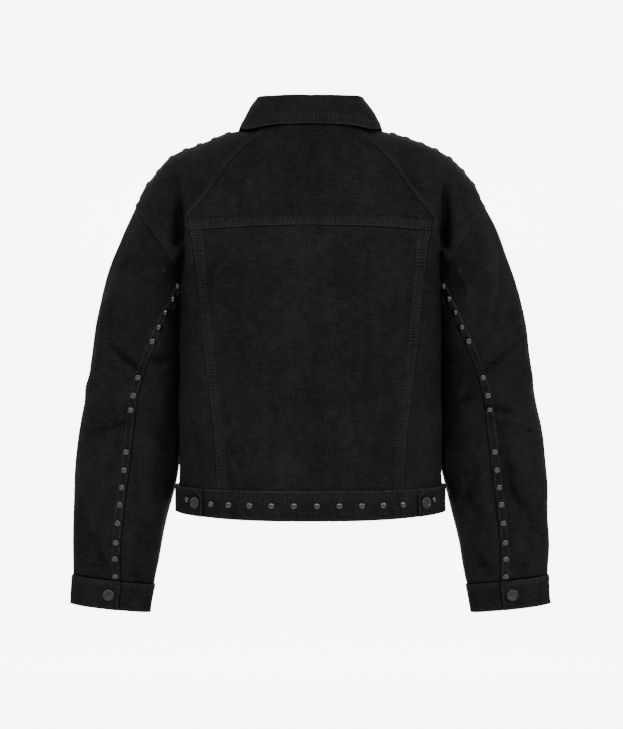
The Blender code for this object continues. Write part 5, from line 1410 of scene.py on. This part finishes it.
def denim(name, dark, pale, worn, relief):
    """Denim: dark to pale by twill and wash, then worn grey on edges and ridges, with a painted highlight on
    the line beside each row of stitches, then painted shade, near black, beside laps, in stitch dips and in
    crease troughs, and a little painted highlight on rises."""
    item, tree, shader = fresh(name)
    cloth = tree.nodes.new("ShaderNodeUVMap")
    cloth.uv_map = "cloth"
    seam = tree.nodes.new("ShaderNodeUVMap")
    seam.uv_map = "seam"
    place = tree.nodes.new("ShaderNodeTexCoord")
    fine, broad, band = field(tree, "wear_and_painted_shade"), field(tree, "wear_and_painted_relief_shade"), field(tree, "band")
    weave = placed(tree, twill, Thread_map=cloth.outputs[0])
    clouds = placed(tree, wash, Place=place.outputs["Object"])
    rub = placed(tree, rubbed, Seam_map=seam.outputs[0])
    tone = maths(tree, "ADD", maths(tree, "MULTIPLY", weave.outputs["Tone"], 0.9), clouds.outputs["Tone"])
    tone = ramp(tree, tone, 1.20, 1.62)
    in_band = maths(tree, "MULTIPLY", maths(tree, "ADD", rub.outputs["Bars"], 0.40), 0.62)
    tone = maths(tree, "ADD", tone, maths(tree, "MULTIPLY", in_band, band))
    tone = maths(tree, "ADD", tone, maths(tree, "MULTIPLY", rub.outputs["Bars"], 0.16))
    # painted shade and painted highlight: a little darker in hollows, paler on rises
    tone = maths(tree, "ADD", tone, maths(tree, "MULTIPLY", broad, 0.22))
    # pale where the cloth stands proud, as wear, and strongly on the line beside each stitch row, part wear
    # and part painted highlight
    painted_highlight_and_worn_ridge = maths(tree, "MAXIMUM", maths(tree, "MULTIPLY", fine, 0.10),
                  maths(tree, "MULTIPLY", maths(tree, "SUBTRACT", fine, 0.75), 0.55))
    edge = maths(tree, "MAXIMUM", rub.outputs["Edge"], maths(tree, "MAXIMUM", painted_highlight_and_worn_ridge, 0.0))
    edge = maths(tree, "MULTIPLY", edge, ramp(tree, clouds.outputs["Tone"], 0.50, 0.85, 0.3, 1.0))
    # painted shade: dark lines beside laps and in stitch dips, and crease troughs, mixed toward near black
    painted_lap_shade = maths(tree, "MULTIPLY", maths(tree, "MINIMUM", fine, 0.0), -0.8)
    painted_shade = maths(tree, "MAXIMUM", painted_lap_shade, ramp(tree, broad, -1.0, -0.3, 0.70, 0.0))
    faded = mixed(tree, edge, mixed(tree, tone, dark, pale), worn)
    feed(tree, shader.inputs["Base Color"], mixed(tree, painted_shade, faded, PAINTED_SHADE_BLACK))
    shader.inputs["Roughness"].default_value = 0.75
    shader.inputs["Specular IOR Level"].default_value = 0.03
    shader.inputs["Sheen Weight"].default_value = 0.004
    shader.inputs["Sheen Roughness"].default_value = 0.40
    high = maths(tree, "ADD", maths(tree, "MULTIPLY", weave.outputs["Height"], 0.00010),
                 maths(tree, "MULTIPLY", rub.outputs["Bars"], 0.00022))
    bump = tree.nodes.new("ShaderNodeBump")
    bump.inputs["Distance"].default_value = 1.0
    bump.inputs["Strength"].default_value = relief
    feed(tree, bump.inputs["Height"], high)
    feed(tree, shader.inputs["Normal"], bump.outputs[0])
    return item


def plain(name, colour, metallic, roughness, grain):
    """Thread or metal: one colour broken by noise, with the noise as a little relief."""
    item, tree, shader = fresh(name)
    shader.inputs["Specular IOR Level"].default_value = 0.5 if metallic else 0.06
    place = tree.nodes.new("ShaderNodeTexCoord")
    speck = noise(tree, place.outputs["Object"], (grain, grain, grain), 3.0, 0.6)
    shadow = (*[c * 0.55 for c in colour], 1.0)
    feed(tree, shader.inputs["Base Color"], mixed(tree, ramp(tree, speck, 0.3, 0.7), shadow, (*colour, 1.0)))
    shader.inputs["Metallic"].default_value = metallic
    feed(tree, shader.inputs["Roughness"], ramp(tree, speck, 0.3, 0.7, roughness * 1.2, roughness * 0.85))
    bump = tree.nodes.new("ShaderNodeBump")
    bump.inputs["Distance"].default_value = 0.00004
    bump.inputs["Strength"].default_value = 0.6
    feed(tree, bump.inputs["Height"], speck)
    feed(tree, shader.inputs["Normal"], bump.outputs[0])
    return item


finishes = {
    "denim": denim("denim_outside", (0.0030, 0.0030, 0.0035, 1), (0.0086, 0.0085, 0.0097, 1),
                   (0.0165, 0.0162, 0.0175, 1), 0.8),
    "denim_inside": denim("denim_inside", (0.005, 0.005, 0.0055, 1), (0.015, 0.015, 0.016, 1),
                          (0.02, 0.02, 0.02, 1), 0.8),
    "thread": plain("black_thread", (0.0050, 0.0049, 0.0055), 0.0, 0.6, 900.0),
    "pewter": plain("burnished_pewter", (0.060, 0.058, 0.056), 1.0, 0.15, 500.0),
    "gunmetal": plain("gunmetal", (0.046, 0.044, 0.042), 1.0, 0.24, 400.0),
}
for item in made.values():
    for finish in item["finish"]:
        item.data.materials.append(finishes[finish])
    del item["finish"]
print("materials:", list(finishes))

# %% [markdown]
# ## Which solid each piece stands for
#
# Every piece rides on the one body. A cloth piece takes the place of its solid, and says the size
# it was cut to and what it hangs from, so that the part stays true to a real pattern.

# %% Ride and replace
def declare(node):
    """Cloth: stands for its node, whose solid is hidden."""
    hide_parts(node)


for name, item in made.items():
    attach(item, "root")
for name, item in made.items():
    if name.endswith("_metal"):
        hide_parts(name.removesuffix("_metal"))

declare("back_yoke")
declare("back_panel")
declare("placket")
declare("waistband")
declare("collar")
for tag in ("L", "R"):
    side, arm = f"back_side_{tag}_cloth", f"sleeve_top_{tag}_cloth"
    declare(f"back_side_{tag}")
    declare(f"front_{tag}")
    declare(f"sleeve_top_{tag}")
    declare(f"sleeve_under_{tag}")
    declare(f"cuff_{tag}")
    declare(f"tab_{tag}")
    declare(f"sleeve_stud_strip_{tag}")
    declare(f"shoulder_stud_strip_{tag}")

# %% [markdown]
# ## Floor, light and camera
#
# The floor runs back and curves up behind as one pale sheet. Three large soft lamps stand beside and
# above the camera, because black cloth shows its folds only by broad soft light.

# %% Floor and backdrop
def build_floor():
    """Sweep: flat under the jacket, then a quarter circle up to a wall, carried along x."""
    turn = np.linspace(0.0, np.pi / 2, 24)
    radius, foot, back = 1.5, -1.25, -3.4
    y = np.concatenate([[6.0], back - radius * np.sin(turn), [back - radius]])
    z = np.concatenate([[foot], foot + radius * (1 - np.cos(turn)), [6.5]])
    x = np.array([-9.0, 9.0])
    points = np.stack([np.tile(x, len(y)), np.repeat(y, 2), np.repeat(z, 2)], axis=-1)
    number = np.arange(len(y) - 1)[:, None] * 2
    faces = number + np.array([0, 1, 3, 2])
    mesh = bpy.data.meshes.new("sweep")
    mesh.from_pydata(points.tolist(), [], faces.tolist())
    mesh.shade_smooth()
    floor = bpy.data.objects.new("sweep", mesh)
    bpy.context.scene.collection.objects.link(floor)
    item, tree, shader = fresh("pale_paper")
    shader.inputs["Base Color"].default_value = (0.92, 0.92, 0.92, 1.0)
    shader.inputs["Roughness"].default_value = 0.95
    place = tree.nodes.new("ShaderNodeTexCoord")
    split = tree.nodes.new("ShaderNodeSeparateXYZ")
    feed(tree, split.inputs[0], place.outputs["Object"])
    x, y, z = split.outputs
    lit = maths(tree, "MULTIPLY", ramp(tree, y, -2.4, -1.8, 5.6, 0.0), ramp(tree, z, 1.3, 2.2, 1.0, 0.0))
    lit = maths(tree, "MULTIPLY", lit, ramp(tree, maths(tree, "ABSOLUTE", x), 1.4, 2.0, 1.0, 0.0))
    feed(tree, shader.inputs["Emission Strength"], lit)
    shader.inputs["Emission Color"].default_value = (1.0, 1.0, 1.0, 1.0)
    floor.data.materials.append(item)
    return floor


floor = build_floor()


# %% Lights
JACKET_MIDDLE = (0.0, 0.0, -0.30)


def lamp(name, place, size, power):
    """Square area light turned so that its -Z axis points at the middle of the jacket."""
    data = bpy.data.lights.new(name, "AREA")
    data.shape = "SQUARE"
    data.size = size
    data.energy = power
    item = bpy.data.objects.new(name, data)
    bpy.context.scene.collection.objects.link(item)
    item.location = place
    ahead = np.array(JACKET_MIDDLE) - np.array(place)
    item.rotation_euler = (np.arctan2(np.hypot(ahead[0], ahead[1]), -ahead[2]), 0.0,
                           np.arctan2(ahead[1], ahead[0]) - np.pi / 2)


lamp("left", (2.3, 2.4, 1.1), 1.2, 27.0)
lamp("right", (-2.3, 2.4, 0.7), 1.2, 55.0)
lamp("front", (0.0, 3.3, 1.2), 1.3, 66.0)
world = bpy.data.worlds.new("studio")
world.use_nodes = True
world.node_tree.nodes["Background"].inputs["Color"].default_value = (0.97, 0.98, 1.0, 1.0)
world.node_tree.nodes["Background"].inputs["Strength"].default_value = 1.25
bpy.context.scene.world = world

# %% Camera
eye = bpy.data.cameras.new("eye")
eye.sensor_fit = "VERTICAL"
eye.sensor_height = 36.0
eye.lens = 104.3
camera = bpy.data.objects.new("eye", eye)
bpy.context.scene.collection.objects.link(camera)
camera.location = (-0.0014, 3.0, -0.3316)
camera.rotation_euler = (np.pi / 2, 0.0, np.pi)
bpy.context.scene.camera = camera

# %% Sizes
triangles = {name: sum(len(face.vertices) - 2 for face in item.data.polygons) for name, item in made.items()}
largest = max(triangles, key=triangles.get)
print("triangles:", sum(triangles.values()), "largest:", largest, triangles[largest])
bpy.context.view_layer.update()
